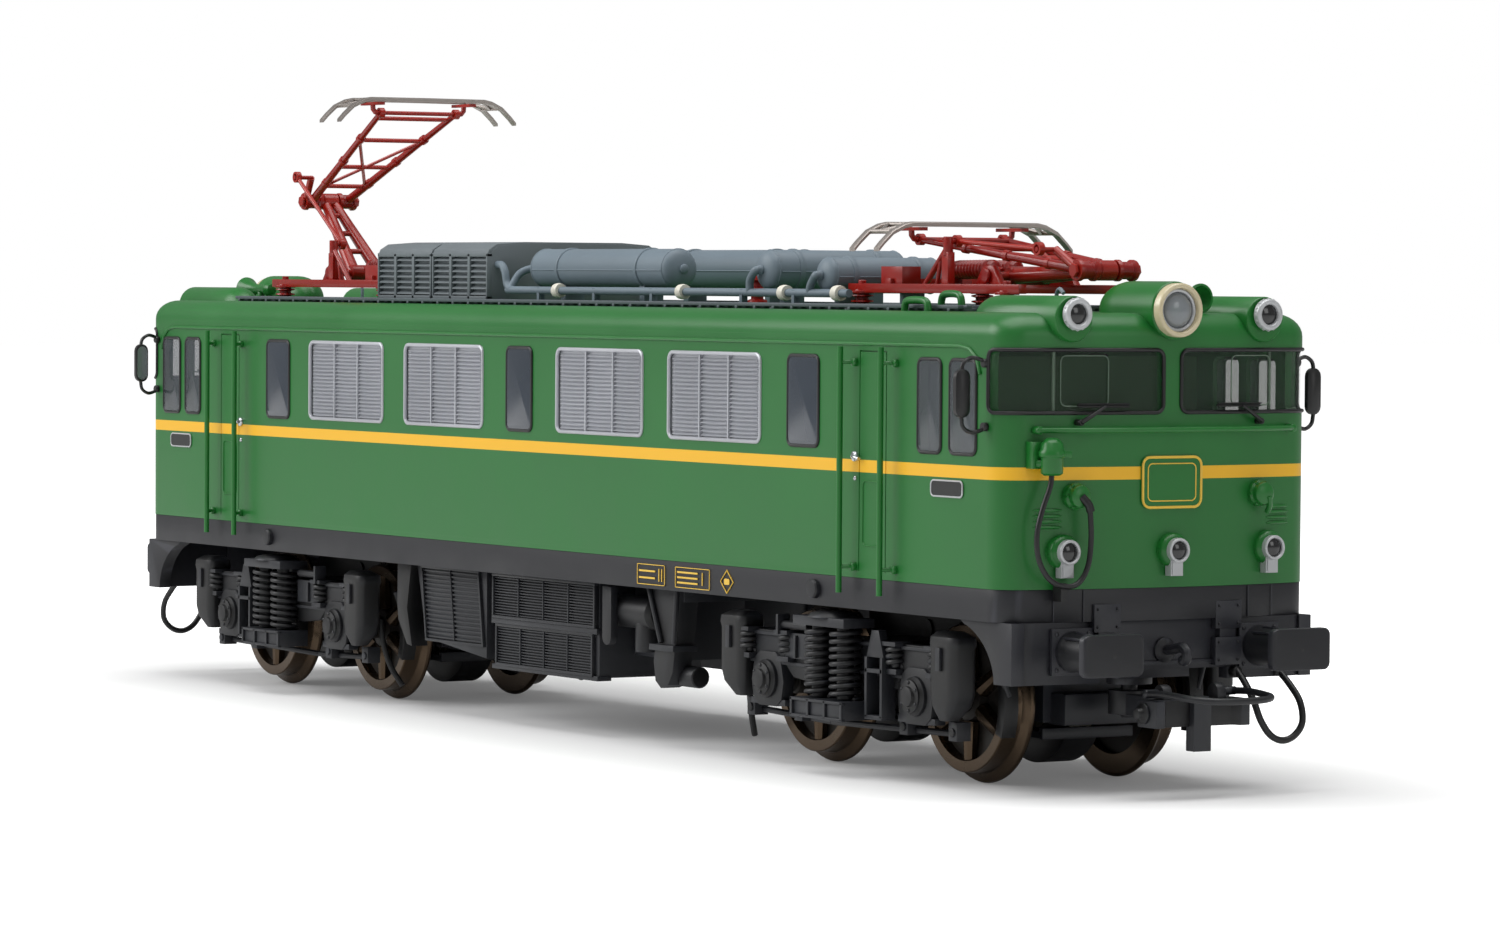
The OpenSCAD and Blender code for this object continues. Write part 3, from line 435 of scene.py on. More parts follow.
def mesh_object(name, part):
    """Object in metres from a part, which is used up."""
    mesh = bpy.data.meshes.new(name)
    part.bm.to_mesh(mesh)
    part.bm.free()
    mesh.transform(Matrix.Diagonal((MM, MM, MM, 1)))
    return new_object(name, mesh)


def cut_away(obj, cutter):
    tool = mesh_object("tool", cutter)
    mod = obj.modifiers.new("cut", "BOOLEAN")
    mod.operation = "DIFFERENCE"
    mod.solver = "EXACT"
    mod.object = tool
    bake_modifiers(obj)
    mesh = tool.data
    bpy.data.objects.remove(tool)
    bpy.data.meshes.remove(mesh)


def round_edges(obj, width):
    mod = obj.modifiers.new("edge", "BEVEL")
    mod.width = width * MM
    mod.segments = 2
    mod.limit_method = "ANGLE"
    mod.angle_limit = math.radians(40)
    bake_modifiers(obj)


def piece(name, part, mats, body, replaces=(), bevel=0.0, angle=32.0, cut=()):
    """Turns a part into one named piece that rides on a CAD body."""
    obj = mesh_object(name, part)
    for mat in mats if isinstance(mats, (list, tuple)) else [mats]:
        obj.data.materials.append(mat)
    for cutter in cut:
        cut_away(obj, cutter)
    if bevel:
        round_edges(obj, bevel)
    finish_mesh(obj, angle)
    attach(obj, body)
    if replaces:
        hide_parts(*replaces)
    return obj


ROOT = "loco_body"

# body shell


def plan_outline(grow=0.0, z=0.0, steps=20):
    """The body's outline in plan, counter-clockwise, grown or shrunk evenly."""
    hl, hw = HALF_L + grow, HALF_W + grow
    r = max(CORNER + grow * 0.6, 1.2)
    lean = 11.4
    front = arc(hl - r, -hw + r, r, -90, -lean, 8)
    w = hw - r
    front += [(hl + BOW * (1 - (t / steps * 2 - 1) ** 2), w * (t / steps * 2 - 1)) for t in range(1, steps)]
    front += arc(hl - r, hw - r, r, lean, 90, 8)
    return [V((x, y, z)) for x, y in front] + [V((-x, -y, z)) for x, y in front]


def front_path():
    """The body outline from the middle of the +X end round its -Y corner and back along the side."""
    ring = sorted((p for p in plan_outline() if p.x > 40 and p.y < -1e-3), key=lambda p: (-p.y, -p.x))
    return [V((HALF_L + BOW, 0, 0))] + ring + [V((60.0, -HALF_W, 0))]


FRONT = front_path()


def along_front(s):
    for a, b in zip(FRONT, FRONT[1:]):
        d = (b - a).length
        if s <= d:
            break
        s -= d
    return a + (b - a).normalized() * s


def front_at(s, offset=0.0):
    """Point s mm round the end from its middle towards -Y, offset mm outwards."""
    along = (along_front(s + 0.6) - along_front(max(s - 0.6, 0.0))).normalized()
    return along_front(s) + V((-along.y, along.x, 0)) * offset


def shell_rings(grow=0.0, bottom=BODY_Z0):
    across, rise = SHOULDER
    rings = [plan_outline(grow, z) for z in (bottom, bottom + 0.4, 25.0, 33.0, GUTTER_Z, ROOF_Z - rise)]
    for i in range(1, 9):
        t = math.radians(90 * i / 8)
        z = ROOF_Z - rise + (rise + grow) * math.sin(t)
        rings.append(plan_outline(grow - across * (1 - math.cos(t)), z))
    return rings


def side_rim(xc, zc, w, h, r, out, n=6):
    """Rounded rectangle just outside the -Y side."""
    return [(xc + a, -HALF_W - out, zc + b) for a, b in round_rect(w, h, r, n)]


def side_opening(xc, w, z0, z1, r, y0, y1):
    return Part().prism(round_rect(w, z1 - z0, r), (xc, -y0, (z0 + z1) / 2), X, Z, y1 - y0)


def screen_outline(shrink=0.0, n=5):
    """Windscreen outline as (distance round the front, height)."""
    s0, s1, z0, z1 = 0.9 + shrink, 19.6 - shrink, 35.9 + shrink, 42.0 - shrink
    r = max(0.9 - shrink, 0.3)
    pts = arc(s1 - r, z1 - r, r, 0, 90, n)
    pts += [(s1 + (s0 - s1) * t / 24, z1) for t in range(2, 23)]
    pts += arc(s0 + r, z1 - r, r, 90, 180, n)
    pts += arc(s0 + r, z0 + r, r, 180, 270, n)
    pts += [(s0 + (s1 - s0) * t / 24, z0) for t in range(2, 23)]
    pts += arc(s1 - r, z0 + r, r, 270, 360, n)
    return pts


def on_front(s, z, offset=0.0):
    p = front_at(s, offset)
    return V((p.x, p.y, z))


def screen_block(shrink, low, high):
    """Windscreen-shaped slab between two offsets from the body surface."""
    outline = screen_outline(shrink)
    inner = [on_front(s, z, low) for s, z in outline]
    outer = [on_front(s, z, high) for s, z in outline]
    part = Part()
    rows = [[part.bm.verts.new(p) for p in ring] for ring in (inner, outer)]
    n = len(outline)
    for i in range(n):
        j = (i + 1) % n
        part.bm.faces.new((rows[0][i], rows[0][j], rows[1][j], rows[1][i]))
    # the two skins follow the bend, as strips between the top and bottom edges
    half = n // 2
    for row, flip in ((rows[0], False), (rows[1], True)):
        for i in range(half - 1):
            a, b, c, d = row[i], row[i + 1], row[n - 2 - i], row[n - 1 - i]
            quad = (a, b, c, d) if flip else (d, c, b, a)
            part.bm.faces.new(quad)
    bmesh.ops.recalc_face_normals(part.bm, faces=part.bm.faces)
    return part


def make_shell():
    shell = Part().loft(shell_rings())
    inner = Part().loft(shell_rings(-1.2, BODY_Z0 - 1.0))
    holes = Part()
    for xc, w in SIDE_WINDOWS:
        holes.add(side_opening(xc, w, *WIN_Z, 0.8, HALF_W + 1, HALF_W - 3), SIDES)
    for xc in GRILLES:
        holes.add(side_opening(xc, GRILLE_W, *GRILLE_Z, 0.9, HALF_W + 1, HALF_W - 0.6), SIDES)
    holes.add(screen_block(0.0, -2.0, 1.0), QUADS)
    grooves = Part()
    gap = [(66.68, 20.3), (66.82, 20.3), (66.82, 41.36), (71.33, 41.36), (71.33, 20.3), (71.47, 20.3),
           (71.47, 41.5), (66.68, 41.5)]
    grooves.add(Part().prism(gap, (0, -HALF_W + 0.22, 0), X, Z, 1.2), QUADS)
    return piece("body_moulding", shell, GREEN, ROOT, ["body_shell"],
                 cut=[inner, holes, grooves])


def make_shell_trim():
    trim = Part()
    for z, y, r in ((GUTTER_Z - 0.05, -HALF_W - 0.05, 0.2), (GUTTER_Z + 0.75, -HALF_W + 0.12, 0.13)):
        path = [(x, y, z) for x in (-84, -40, 0, 40, 84)]
        drop = [(85.6, y, z - 0.25), (86.8, y, z - 1.1), (87.4, y, z - 2.6)]
        line = [(-x, y, z) for x, y, z in reversed(drop)] + path + drop
        trim.add(Part().tube(line, r, 8), SIDES)
    trim.add(Part().tube(side_rim(69.07, 25.9, 3.3, 6.2, 0.5, 0.02), 0.09, 6, closed=True), QUADS)
    for i in range(4):
        z = 25.45 + 0.52 * i
        ridge = [on_front(s, z, 0.02) for s in (11.9, 12.3, 13.0, 13.7, 14.4, 14.8)]
        trim.add(Part().tube(ridge, 0.17, 8, radii=[0.05, 0.15, 0.19, 0.19, 0.15, 0.05]), QUADS)
    return piece("body_gutters", trim, GREEN_TRIM, ROOT, angle=50)


# windows and grilles


def make_windows():
    rubber, glass, screen, inner_frames = Part(), Part(), Part(), Part()
    cab_glass = Part()
    for xc, w in SIDE_WINDOWS:
        z0, z1 = WIN_Z
        mid = (z0 + z1) / 2
        ring = side_rim(xc, mid, w - 0.3, z1 - z0 - 0.3, 0.7, 0.02)
        rubber.add(Part().tube(ring, 0.18, 8, closed=True), SIDES)
        pane = Part().loft([[V((xc + a * k, -HALF_W + y, mid + b * k)) for a, b in
                             round_rect(w - 0.5, z1 - z0 - 0.5, 0.6, 6)]
                            for k, y in ((1.0, 0.9), (1.0, 0.0), (0.985, -0.1), (0.95, -0.13))])
        (cab_glass if abs(xc) > 73 else glass).add(pane, SIDES)
    outline = screen_outline(0.12)
    ring = [on_front(s, z, 0.05) for s, z in outline]
    rubber.add(Part().tube(ring, 0.19, 8, closed=True), QUADS)
    vent = [on_front(9.6 + a, 39.0 + b, 0.02) for a, b in round_rect(5.0, 4.7, 0.6, 5)]
    inner_frames.add(Part().tube(vent, 0.06, 6, closed=True), QUADS)
    post = [on_front(12.6, z, -0.5) for z in (36.1, 38, 40, 41.8)]
    inner_frames.add(Part().tube(post, 0.17, 8), QUADS)
    screen.add(screen_block(0.2, -0.65, -0.15), QUADS)
    piece("window_gaskets", rubber, RUBBER, ROOT, ["window_rubbers"], angle=60)
    piece("side_glazing", glass, PANE_GREY, ROOT, ["window_glass"], angle=40)
    piece("cab_glazing", cab_glass, CAB_GLASS, ROOT, angle=40)
    piece("windscreen_panes", screen, GLASS, ROOT, angle=30)
    piece("windscreen_beads", inner_frames, PANE_FRAME, ROOT, angle=60)


def make_grilles():
    panel = Part()
    z0, z1 = GRILLE_Z
    mid = (z0 + z1) / 2
    back = round_rect(GRILLE_W - 0.06, z1 - z0 - 0.06, 0.85)
    panel.prism(back, (0, -HALF_W + 0.58, mid), X, Z, 0.3)
    panel.tube(side_rim(0, mid, GRILLE_W - 0.35, z1 - z0 - 0.35, 0.75, 0.02), 0.2, 8, closed=True)
    columns, rows = 3, 19
    width = (GRILLE_W - 1.3) / columns
    for c in range(columns):
        x = -GRILLE_W / 2 + 0.65 + width * c
        for r in range(rows):
            z = z0 + 0.5 + (z1 - z0 - 1.0) * r / rows
            y = -HALF_W + 0.3
            slat = [(x + 0.14, y, z), (x + 0.2, y - 0.36, z + 0.02), (x + width * 0.5, y - 0.42, z),
                    (x + width - 0.2, y - 0.36, z + 0.02), (x + width - 0.14, y, z)]
            panel.loft([slat, [(p[0], y, p[2] + 0.3) for p in slat]], closed=False)
    for c in (1, 2):
        x = -GRILLE_W / 2 + 0.65 + width * c
        panel.box(x - 0.1, x + 0.1, -HALF_W - 0.1, -HALF_W + 0.4, z0 + 0.3, z1 - 0.3)
    grilles = Part().add(panel, [side @ moved(x=g) for g in GRILLES for side in SIDES])
    piece("louvre_grilles", grilles, SILVER, ROOT, ["side_grilles"], angle=35)


# rails, mirrors, wipers, lamps


def make_rails():
    rail_z = 34.45
    rails = Part()
    for x in RAILS:
        y = -HALF_W - 1.35
        rails.add(Part().tube([V((x, y, z)) for z in (18.2, 18.35, 30, 41.6, 41.85)], 0.3, 12), QUADS)
        for z in (20.7, 40.35):
            post = Part().bar((x, y, z), (x + 0.75, -HALF_W + 0.1, z), 0.2, n=10)
            post.bar((x + 0.72, -HALF_W - 0.45, z), (x + 0.72, -HALF_W + 0.1, z), 0.42, n=12)
            rails.add(post, QUADS)
    front = smooth_path([(92.3, -14.7, rail_z), (93.0, -13.0, rail_z), (93.95, -8, rail_z),
                         (94.45, 0, rail_z),
                         (93.95, 8, rail_z), (93.0, 13.0, rail_z), (92.3, 14.7, rail_z)], 8)
    rails.add(Part().tube(front, 0.26, 12), ENDS)
    rails.add(Part().bar((94.3, 0, rail_z), (92.95, 0, 34.4), 0.2, n=10), ENDS)
    for y in (-14.6, 14.6):
        rails.add(Part().bar((92.6, y, rail_z), (91.4, y, rail_z), 0.38, n=12), ENDS)
    piece("grab_rails", rails, GREEN_TRIM, ROOT, ["handrails"], angle=50)
    locks = Part()
    locks.bar((66.1, -HALF_W - 0.3, 31.3), (66.1, -HALF_W + 0.1, 31.3), 0.5, n=16)
    locks.tube(smooth_path([(66.1, -HALF_W - 0.42, 31.3), (66.5, -HALF_W - 0.5, 31.25),
                            (67.3, -HALF_W - 0.45, 31.1)], 4), 0.2, 8)
    locks.bar((66.1, -HALF_W - 0.15, 29.2), (66.1, -HALF_W + 0.1, 29.2), 0.22, n=12)
    piece("door_locks", Part().add(locks, QUADS), CHROME, ROOT, angle=50)


def make_mirrors():
    mid_y, mid_z = -20.35, 37.8
    part = Part()
    outline = arc(0, 1.45, 0.8, 0, 180, 8) + arc(0, -1.45, 0.8, 180, 360, 8)
    shape = Part().loft([[V((88 + x, mid_y + a * k, mid_z + b * (1 + (k - 1) * 0.5))) for a, b in outline]
                         for x, k in ((-0.35, 0.86), (-0.28, 1), (0.2, 1), (0.42, 0.7))])
    part.add(shape, QUADS)
    for z, turn in ((40.6, -1), (34.7, 1)):
        wire = smooth_path([(88.4, -HALF_W + 0.05, z), (88.3, -18.5, z - turn * 0.35),
                            (88.1, -19.4, z - turn * 0.5),
                            (88.0, -20.2, z), (88.0, -20.4, z + turn * 0.9)], 6)
        part.add(Part().tube(wire, 0.2, 8), QUADS)
        part.add(Part().bar((88.4, -18.35, z), (88.4, -HALF_W + 0.1, z), 0.42, n=12), QUADS)
    piece("rear_view_mirrors", part, RUBBER, ROOT, ["mirrors"], angle=45)
    glass = Part().add(Part().prism(outline, (87.64, mid_y, mid_z), (0, 0.8, 0), (0, 0, 0.88), -0.03), QUADS)
    piece("mirror_faces", glass, CHROME, ROOT)


def make_wipers():
    part = Part()
    arm = Part()
    arm.bar((92.25, -10.4, 35.15), (93.2, -10.4, 35.15), 0.3, n=12)
    arm.tube([(93.1, -10.4, 35.15), (93.3, -9.4, 35.75), (93.45, -7.9, 36.65)], 0.2, 8,
             radii=[0.24, 0.2, 0.13])
    for z in (36.6, 36.85):
        blade = [on_front(s, z, 0.55) for s in (5.1, 6.4, 7.8, 9.2, 10.5)]
        arm.tube(blade, 0.08, 6)
    arm.tube([on_front(s, 36.72, 0.3) for s in (5.1, 7.8, 10.5)], 0.1, 6)
    part.add(arm, QUADS)
    piece("windscreen_wipers", part, RUBBER, ROOT, ["wipers"], angle=45)


def front_x(y):
    return HALF_L + BOW * (1 - (y / (HALF_W - CORNER)) ** 2)


def fairing(y, z, r, x_front, x_back):
    """Lamp casing: a level hood with a rounded back end."""
    n, steps = 36, 14
    rings = []
    for i in range(steps + 1):
        t = math.radians(90 * i / steps)
        length = min(1.6 * r, x_front - x_back)
        x = x_back + length * (1 - math.sin(t))
        k = max(math.cos(t), 0.02)
        rings.append([V((x, y + r * k * math.cos(a), z + r * k * math.sin(a)))
                      for a in (2 * math.pi * j / n for j in range(n))])
    rings.reverse()
    rings += [[V((x_front, p.y, p.z)) for p in rings[-1]]]
    rings += [[V((x_front + 0.12, y + (p.y - y) * 0.96, z + (p.z - z) * 0.96)) for p in rings[-1]]]
    part = Part().loft(rings)
    bmesh.ops.recalc_face_normals(part.bm, faces=part.bm.faces)
    return part


def ring_profile(ri, ro, depth):
    """Section of a lamp ring: a rounded lip round an open middle."""
    mid, half = (ri + ro) / 2, (ro - ri) / 2
    return [(ri, 0)] + [(mid - half * math.cos(t), depth + half * math.sin(t)) for t in
                        (math.pi * i / 8 for i in range(9))] + [(ro, 0)]


def open_lathe(part, profile, base, axis, n=32, m=0):
    """As lathe, but joined back to its first point, for rings."""
    axis = V(axis).normalized()
    side = axis.orthogonal().normalized()
    other = axis.cross(side)
    rings = [[part.bm.verts.new(V(base) + axis * h + (side * math.cos(a) + other * math.sin(a)) * r)
              for a in (2 * math.pi * i / n for i in range(n))] for r, h in profile]
    rings.append(rings[0])
    for a, b in zip(rings, rings[1:]):
        for i in range(n):
            j = (i + 1) % n
            face = part.bm.faces.new((a[i], a[j], b[j], b[i]))
            face.material_index = m
    bmesh.ops.recalc_face_normals(part.bm, faces=part.bm.faces)
    return part


def make_lamps():
    head_z, mark_z, low_z = 45.6, 45.2, 23.15
    casing, rings, lenses, dark = Part(), Part(), Part(), Part()
    casing.add(fairing(0, head_z, 2.7, 93.3, 82.5), ENDS)
    rings.add(open_lathe(Part(), ring_profile(2.05, 2.55, 0.75), (93.4, 0, head_z), X, m=1), ENDS)
    rings.add(open_lathe(Part(), ring_profile(1.7, 2.06, 0.35), (93.4, 0, head_z), X), ENDS)
    cap = [(1.76, 0), (1.7, 0.35), (1.35, 0.7), (0.8, 0.92), (0, 1.0)]
    lenses.add(Part().lathe(cap, (93.35, 0, head_z), X), ENDS)
    dark.add(Part().lathe([(1.75, 0), (1.75, 0.08), (0, 0.02)], (93.38, 0, head_z), X), ENDS)
    for y in (-11, 11):
        casing.add(fairing(y, 44.75, 2.15, 92.5, 77.5), ENDS)
        bezel = open_lathe(Part(), ring_profile(0.95, 1.5, 0.45), (92.9, y, mark_z), X, n=48)
        for i in range(16):
            t = 2 * math.pi * i / 16
            bezel.ball((93.2, y + 1.42 * math.cos(t), mark_z + 1.42 * math.sin(t)), 0.2, 6)
        rings.add(bezel, ENDS)
        dark.add(Part().lathe([(1.0, 0), (1.0, 0.3), (0.6, 0.48), (0, 0.55)], (92.9, y, mark_z), X), ENDS)
    for y in LAMPS_LOW:
        fx = front_x(y)
        casing.add(Part().lathe([(1.62, -0.6), (1.62, 0.5), (1.5, 0.75), (1.1, 1.0)], (fx, y, low_z), X),
                   ENDS)
        rings.add(open_lathe(Part(), ring_profile(0.88, 1.18, 0.45), (fx + 0.95, y, low_z), X), ENDS)
        foot = Part().box(fx + 0.1, fx + 1.0, y - 0.7, y + 0.7, 20.75, 22.4)
        foot.box(fx + 0.9, fx + 1.1, y - 0.55, y + 0.55, 20.9, 22.2)
        rings.add(foot, ENDS)
        dark.add(Part().lathe([(0.82, 0), (0.82, 0.35), (0.5, 0.5), (0, 0.55)], (fx + 0.95, y, low_z), X),
                 ENDS)
    piece("lamp_casings", casing, GREEN_TRIM, ROOT, ["lamp_housings"], angle=40)
    piece("lamp_bezels", rings, [WHITE_TRIM, CREAM], ROOT, ["lamp_rings"], angle=50)
    piece("headlight_lenses", lenses, LENS, ROOT, ["lamp_lenses"], angle=60)
    piece("marker_lenses", dark, LENS_DARK, ROOT, angle=60)


def make_front_fittings():
    tap_z, label_z, plate_z = 28.3, 28.75, 29.5
    pots, cable, plates = Part(), Part(), Part()
    pot = Part()
    pot.box(91.5, 92.6, -15.5, -14.5, 30.9, 33.4)
    pot.bar((92.4, -14.9, 31.4), (93.3, -14.2, 31.4), 0.4, n=12)
    pot.lathe([(0.75, 0), (1.05, 0.2), (1.05, 1.6), (1.25, 1.8), (1.25, 2.2), (1.1, 2.4), (1.0, 3.0),
               (0.5, 3.45), (0, 3.5)],
              (93.4, -13.9, 30.3), Z, 24)
    pot.prism([(-0.5, -0.25), (1.1, -0.35), (1.15, 0.25), (-0.5, 0.3)], (93.2, -13.4, 32.3), Y, Z, 1.1)
    pots.add(pot, ENDS)
    for y in (-10.6, 10.6):
        fx = front_x(y)
        tap = Part().lathe([(1.25, -0.4), (1.25, 0.5), (1.05, 0.7), (1.05, 1.25), (0.8, 1.4)],
                           (fx, y, tap_z), X, 20)
        for i in range(6):
            t = math.radians(60 * i)
            tap.bar((fx + 0.1, y + 1.1 * math.cos(t), tap_z + 1.1 * math.sin(t)),
                    (fx + 0.75, y + 1.1 * math.cos(t), tap_z + 1.1 * math.sin(t)), 0.18, n=6)
        pots.add(tap, ENDS)
    arm = smooth_path([(93.6, 11.0, 28.0), (93.4, 11.2, 27.1), (93.0, 11.2, 26.5)], 4)
    pots.add(Part().tube(arm, 0.28, 8), ENDS)
    piece("cable_pots", pots, GREEN_TRIM, ROOT, ["jumper_sockets"], bevel=0.06, angle=40)
    route = [(93.4, -13.9, 30.4), (93.4, -14.1, 29.2), (93.4, -14.9, 27.2), (93.4, -15.5, 24.9),
             (93.4, -15.3, 22.6),
             (93.6, -14.3, 20.8), (93.8, -12.8, 20.05), (93.9, -11.2, 20.3), (94.0, -10.2, 21.8),
             (94.0, -9.85, 24.0),
             (94.0, -9.9, 26.2), (93.9, -10.1, 27.6), (93.5, -10.6, 28.3)]
    line = Part().tube(smooth_path(route, 8), 0.26, 12)
    line.tube(smooth_path([(94.0, -9.9, 26.9), (93.9, -10.1, 27.6), (93.5, -10.6, 28.3)], 4), 0.4, 12)
    line.box(92.3, 93.6, -12.9, -12.2, 18.6, 20.3)
    cable.add(line, ENDS)
    piece("jumper_cable_runs", cable, RUBBER, ROOT, ["jumper_cables"], angle=50)
    badge = Part().prism(round_rect(5.4, 1.6, 0.5), (82.0, -HALF_W - 0.01, label_z), X, Z, 0.1)
    badge.tube(side_rim(82, label_z, 5.3, 1.5, 0.45, 0.1), 0.09, 6, m=1, closed=True)
    plates.add(badge, QUADS)
    shield = Part().prism(round_rect(7.0, 5.0, 0.9), (HALF_L + BOW - 0.06, 0, plate_z), Y, Z, 0.16, m=2)
    for out, w, h, r, wire in ((0.12, 6.7, 4.7, 0.8, 0.13), (0.1, 5.5, 3.5, 0.5, 0.06)):
        rim = [(HALF_L + BOW + out, a, plate_z + b) for a, b in round_rect(w, h, r)]
        shield.tube(rim, wire, 6, m=3, closed=True)
    plates.add(shield, ENDS)
    piece("blank_plates", plates, [PLATE, WHITE_TRIM, GREEN_TRIM, YELLOW], ROOT, angle=40)


# sole bar, end beams, buffers, hoses


def ring_band(low, high, z0, z1):
    """Closed band between two plan outlines."""
    part = Part()
    rings = [plan_outline(high, z0), plan_outline(high, z1), plan_outline(low, z1), plan_outline(low, z0)]
    rows = [[part.bm.verts.new(p) for p in ring] for ring in rings]
    rows.append(rows[0])
    n = len(rings[0])
    for a, b in zip(rows, rows[1:]):
        for i in range(n):
            part.bm.faces.new((a[i], a[(i + 1) % n], b[(i + 1) % n], b[i]))
    bmesh.ops.recalc_face_normals(part.bm, faces=part.bm.faces)
    return part


def make_sole():
    part = ring_band(-1.3, -0.06, SOLE_Z0, BODY_Z0 - 0.03)
    for y in (-9.5, 9.5, -12.6, 12.6):
        part.add(Part().box(92.0, front_x(y) + 0.06, y - 0.07, y + 0.07, SOLE_Z0, BODY_Z0 - 0.1), ENDS)
    drum = Part().lathe([(0.95, -0.6), (0.95, 0.35), (0.8, 0.5), (0.0, 0.5)], (58.9, -HALF_W, 18.2),
                        (0, -1, 0), 24)
    part.add(drum, QUADS)
    piece("sole_bar", part, DARK, ROOT, ["sole_band"], bevel=0.08, angle=35)
    marks = Part()
    y = -HALF_W - 0.01

    def frame_mark(x0, x1, z0, z1, rows, columns):
        mark = Part()
        t = 0.07
        for a, b, c, d in ((x0, x1, z0, z0 + t), (x0, x1, z1 - t, z1), (x0, x0 + t, z0, z1),
                           (x1 - t, x1, z0, z1)):
            mark.box(a, b, y - 0.05, y + 0.02, c, d)
        for i in range(1, rows):
            z = z0 + (z1 - z0) * i / rows
            mark.box(x0 + 0.4, x1 - (x1 - x0) * 0.35, y - 0.05, y + 0.02, z - 0.09, z + 0.09)
        for i in range(columns):
            x = x1 - (x1 - x0) * (0.22 - 0.1 * i)
            mark.box(x, x + 0.12, y - 0.05, y + 0.02, z0 + 0.4, z1 - 0.4)
        return mark

    for x0, x1, rows, columns in ((24.9, 30.4, 3, 2), (32.5, 39.2, 4, 1)):
        marks.add(frame_mark(x0, x1, 17.0, 19.1, rows, columns), SIDES)
    rim = [V((42.5 + a, y, 18.05 + b)) for a, b in ((0, 1.15), (-1.2, 0), (0, -1.15), (1.2, 0))]
    diamond = Part().tube(rim, 0.07, 6, closed=True)
    diamond.prism(round_rect(1.0, 0.6, 0.2), (42.5, y + 0.02, 18.05), X, Z, 0.06)
    marks.add(diamond, SIDES)
    piece("sole_marks", marks, YELLOW, ROOT)


def make_end_beams():
    face, top, bottom = 92.0, SOLE_Z0 - 0.02, 10.8
    part = Part()
    half = Part()
    # side cheek that curves down from the sole bar to the front bottom edge
    bends = [math.radians(t) for t in range(12, 91, 6)]
    cheek = [(0, top)] + [(5.7 * math.sin(t) ** 1.3, SOLE_Z0 - 0.3 - 5.5 * (1 - math.cos(t))) for t in bends]
    cheek += [(6.4, bottom), (8.6, bottom), (8.6, top)]
    half.prism(cheek, (83.4, -15.9, 0), X, Z, 1.4)
    outer = arc(0, 0, 2.6, -90, 0, 8)
    front = [(89.4 + a, -14.7 + b) for a, b in outer]
    inner = [(89.4 + a * 0.5, -14.7 + b * 0.5) for a, b in outer]
    loop = front + [(face, -7.4), (90.7, -7.4)] + list(reversed(inner))
    half.prism(loop, (0, 0, bottom), X, Y, top - bottom)
    part.add(half, QUADS)
    beam = Part().box(90.4, face, -7.5, 7.5, 11.9, top)
    beam.box(face, 92.25, -7.4, 7.4, 12.3, 12.7)
    for y in (-7, 7):
        for z in (12.15, 15.6):
            beam.box(face, 92.75, y - 1.5, y + 1.5, z, z + 2.6)
            for a in (-1.1, 1.1):
                for b in (0.45, 2.15):
                    beam.ball((92.76, y + a, z + b), 0.16, 8)
        beam.box(face, 92.6, y - 0.9, y + 0.9, 14.6, 15.7)
    # draw hook and its plate
    beam.lathe([(1.2, 0), (1.2, 0.3), (0.9, 0.5), (0.6, 0.6)], (face, 0, 13.7), X, 20)
    beam.tube(smooth_path([(92.3, 0, 13.7), (93.8, 0, 13.9), (95.0, 0, 14.1), (95.7, 0, 13.6),
                           (95.5, 0, 12.9), (94.9, 0, 12.9)], 5),
              0.5, 10)
    part.add(beam, ENDS)
    pocket = Part().box(83.6, 90.5, -4.1, 4.1, 11.0, 14.0)
    pocket.bar((86.5, 0, 7.0), (86.5, 0, 11.1), 0.8, n=20)
    pocket.lathe([(2.2, 0), (2.2, 0.8)], (86.5, 0, 10.2), Z, 24)
    part.add(pocket, ENDS)
    piece("end_aprons", part, DARK, ROOT, ["end_beams"], bevel=0.1, angle=35)


def make_buffers():
    base, heads = Part(), Part()
    for y in (-BUFFER_Y, BUFFER_Y):
        house = Part().box(92.05, 92.5, y - 2.3, y + 2.3, BUFFER_Z - 2.2, BUFFER_Z + 2.2)
        for a in (-1.8, 1.8):
            for b in (-1.7, 1.7):
                house.ball((92.52, y + a, BUFFER_Z + b), 0.22, 8)
        house.lathe([(1.95, 0.4), (1.9, 0.9), (1.7, 1.3), (1.7, 4.2), (1.55, 4.35), (1.3, 4.35)],
                    (92.05, y, BUFFER_Z), X, 32)
        for a in (-1.2, 0, 1.2):
            house.box(92.4, 95.6, y + a - 0.14, y + a + 0.14, BUFFER_Z + 1.2, BUFFER_Z + 1.85 - abs(a) * 0.35)
        base.add(house, ENDS)
        head = Part().lathe([(1.2, 0), (1.2, 2.3)], (96.2, y, BUFFER_Z), X, 28)
        rows = []
        for depth, k in ((98.3, 0.9), (98.42, 1.0), (99.05, 1.0), (99.2, 0.965), (BUFFER_X, 0.9)):
            rows.append([V((depth, y + a * k, BUFFER_Z + b * k)) for a, b in round_rect(6.84, 3.96, 0.7)])
        head.loft(rows)
        head.lathe([(0.26, 0), (0.22, 0.012), (0.0, 0.012)], (BUFFER_X - 0.01, y, BUFFER_Z), X, 16, m=1)
        heads.add(head, ENDS)
    piece("buffer_casings", base, DARK, ROOT, ["buffer_housings"], bevel=0.06, angle=35)
    piece("buffer_plates", heads, [DARK, DEEP], ROOT, ["buffer_heads"], angle=40)


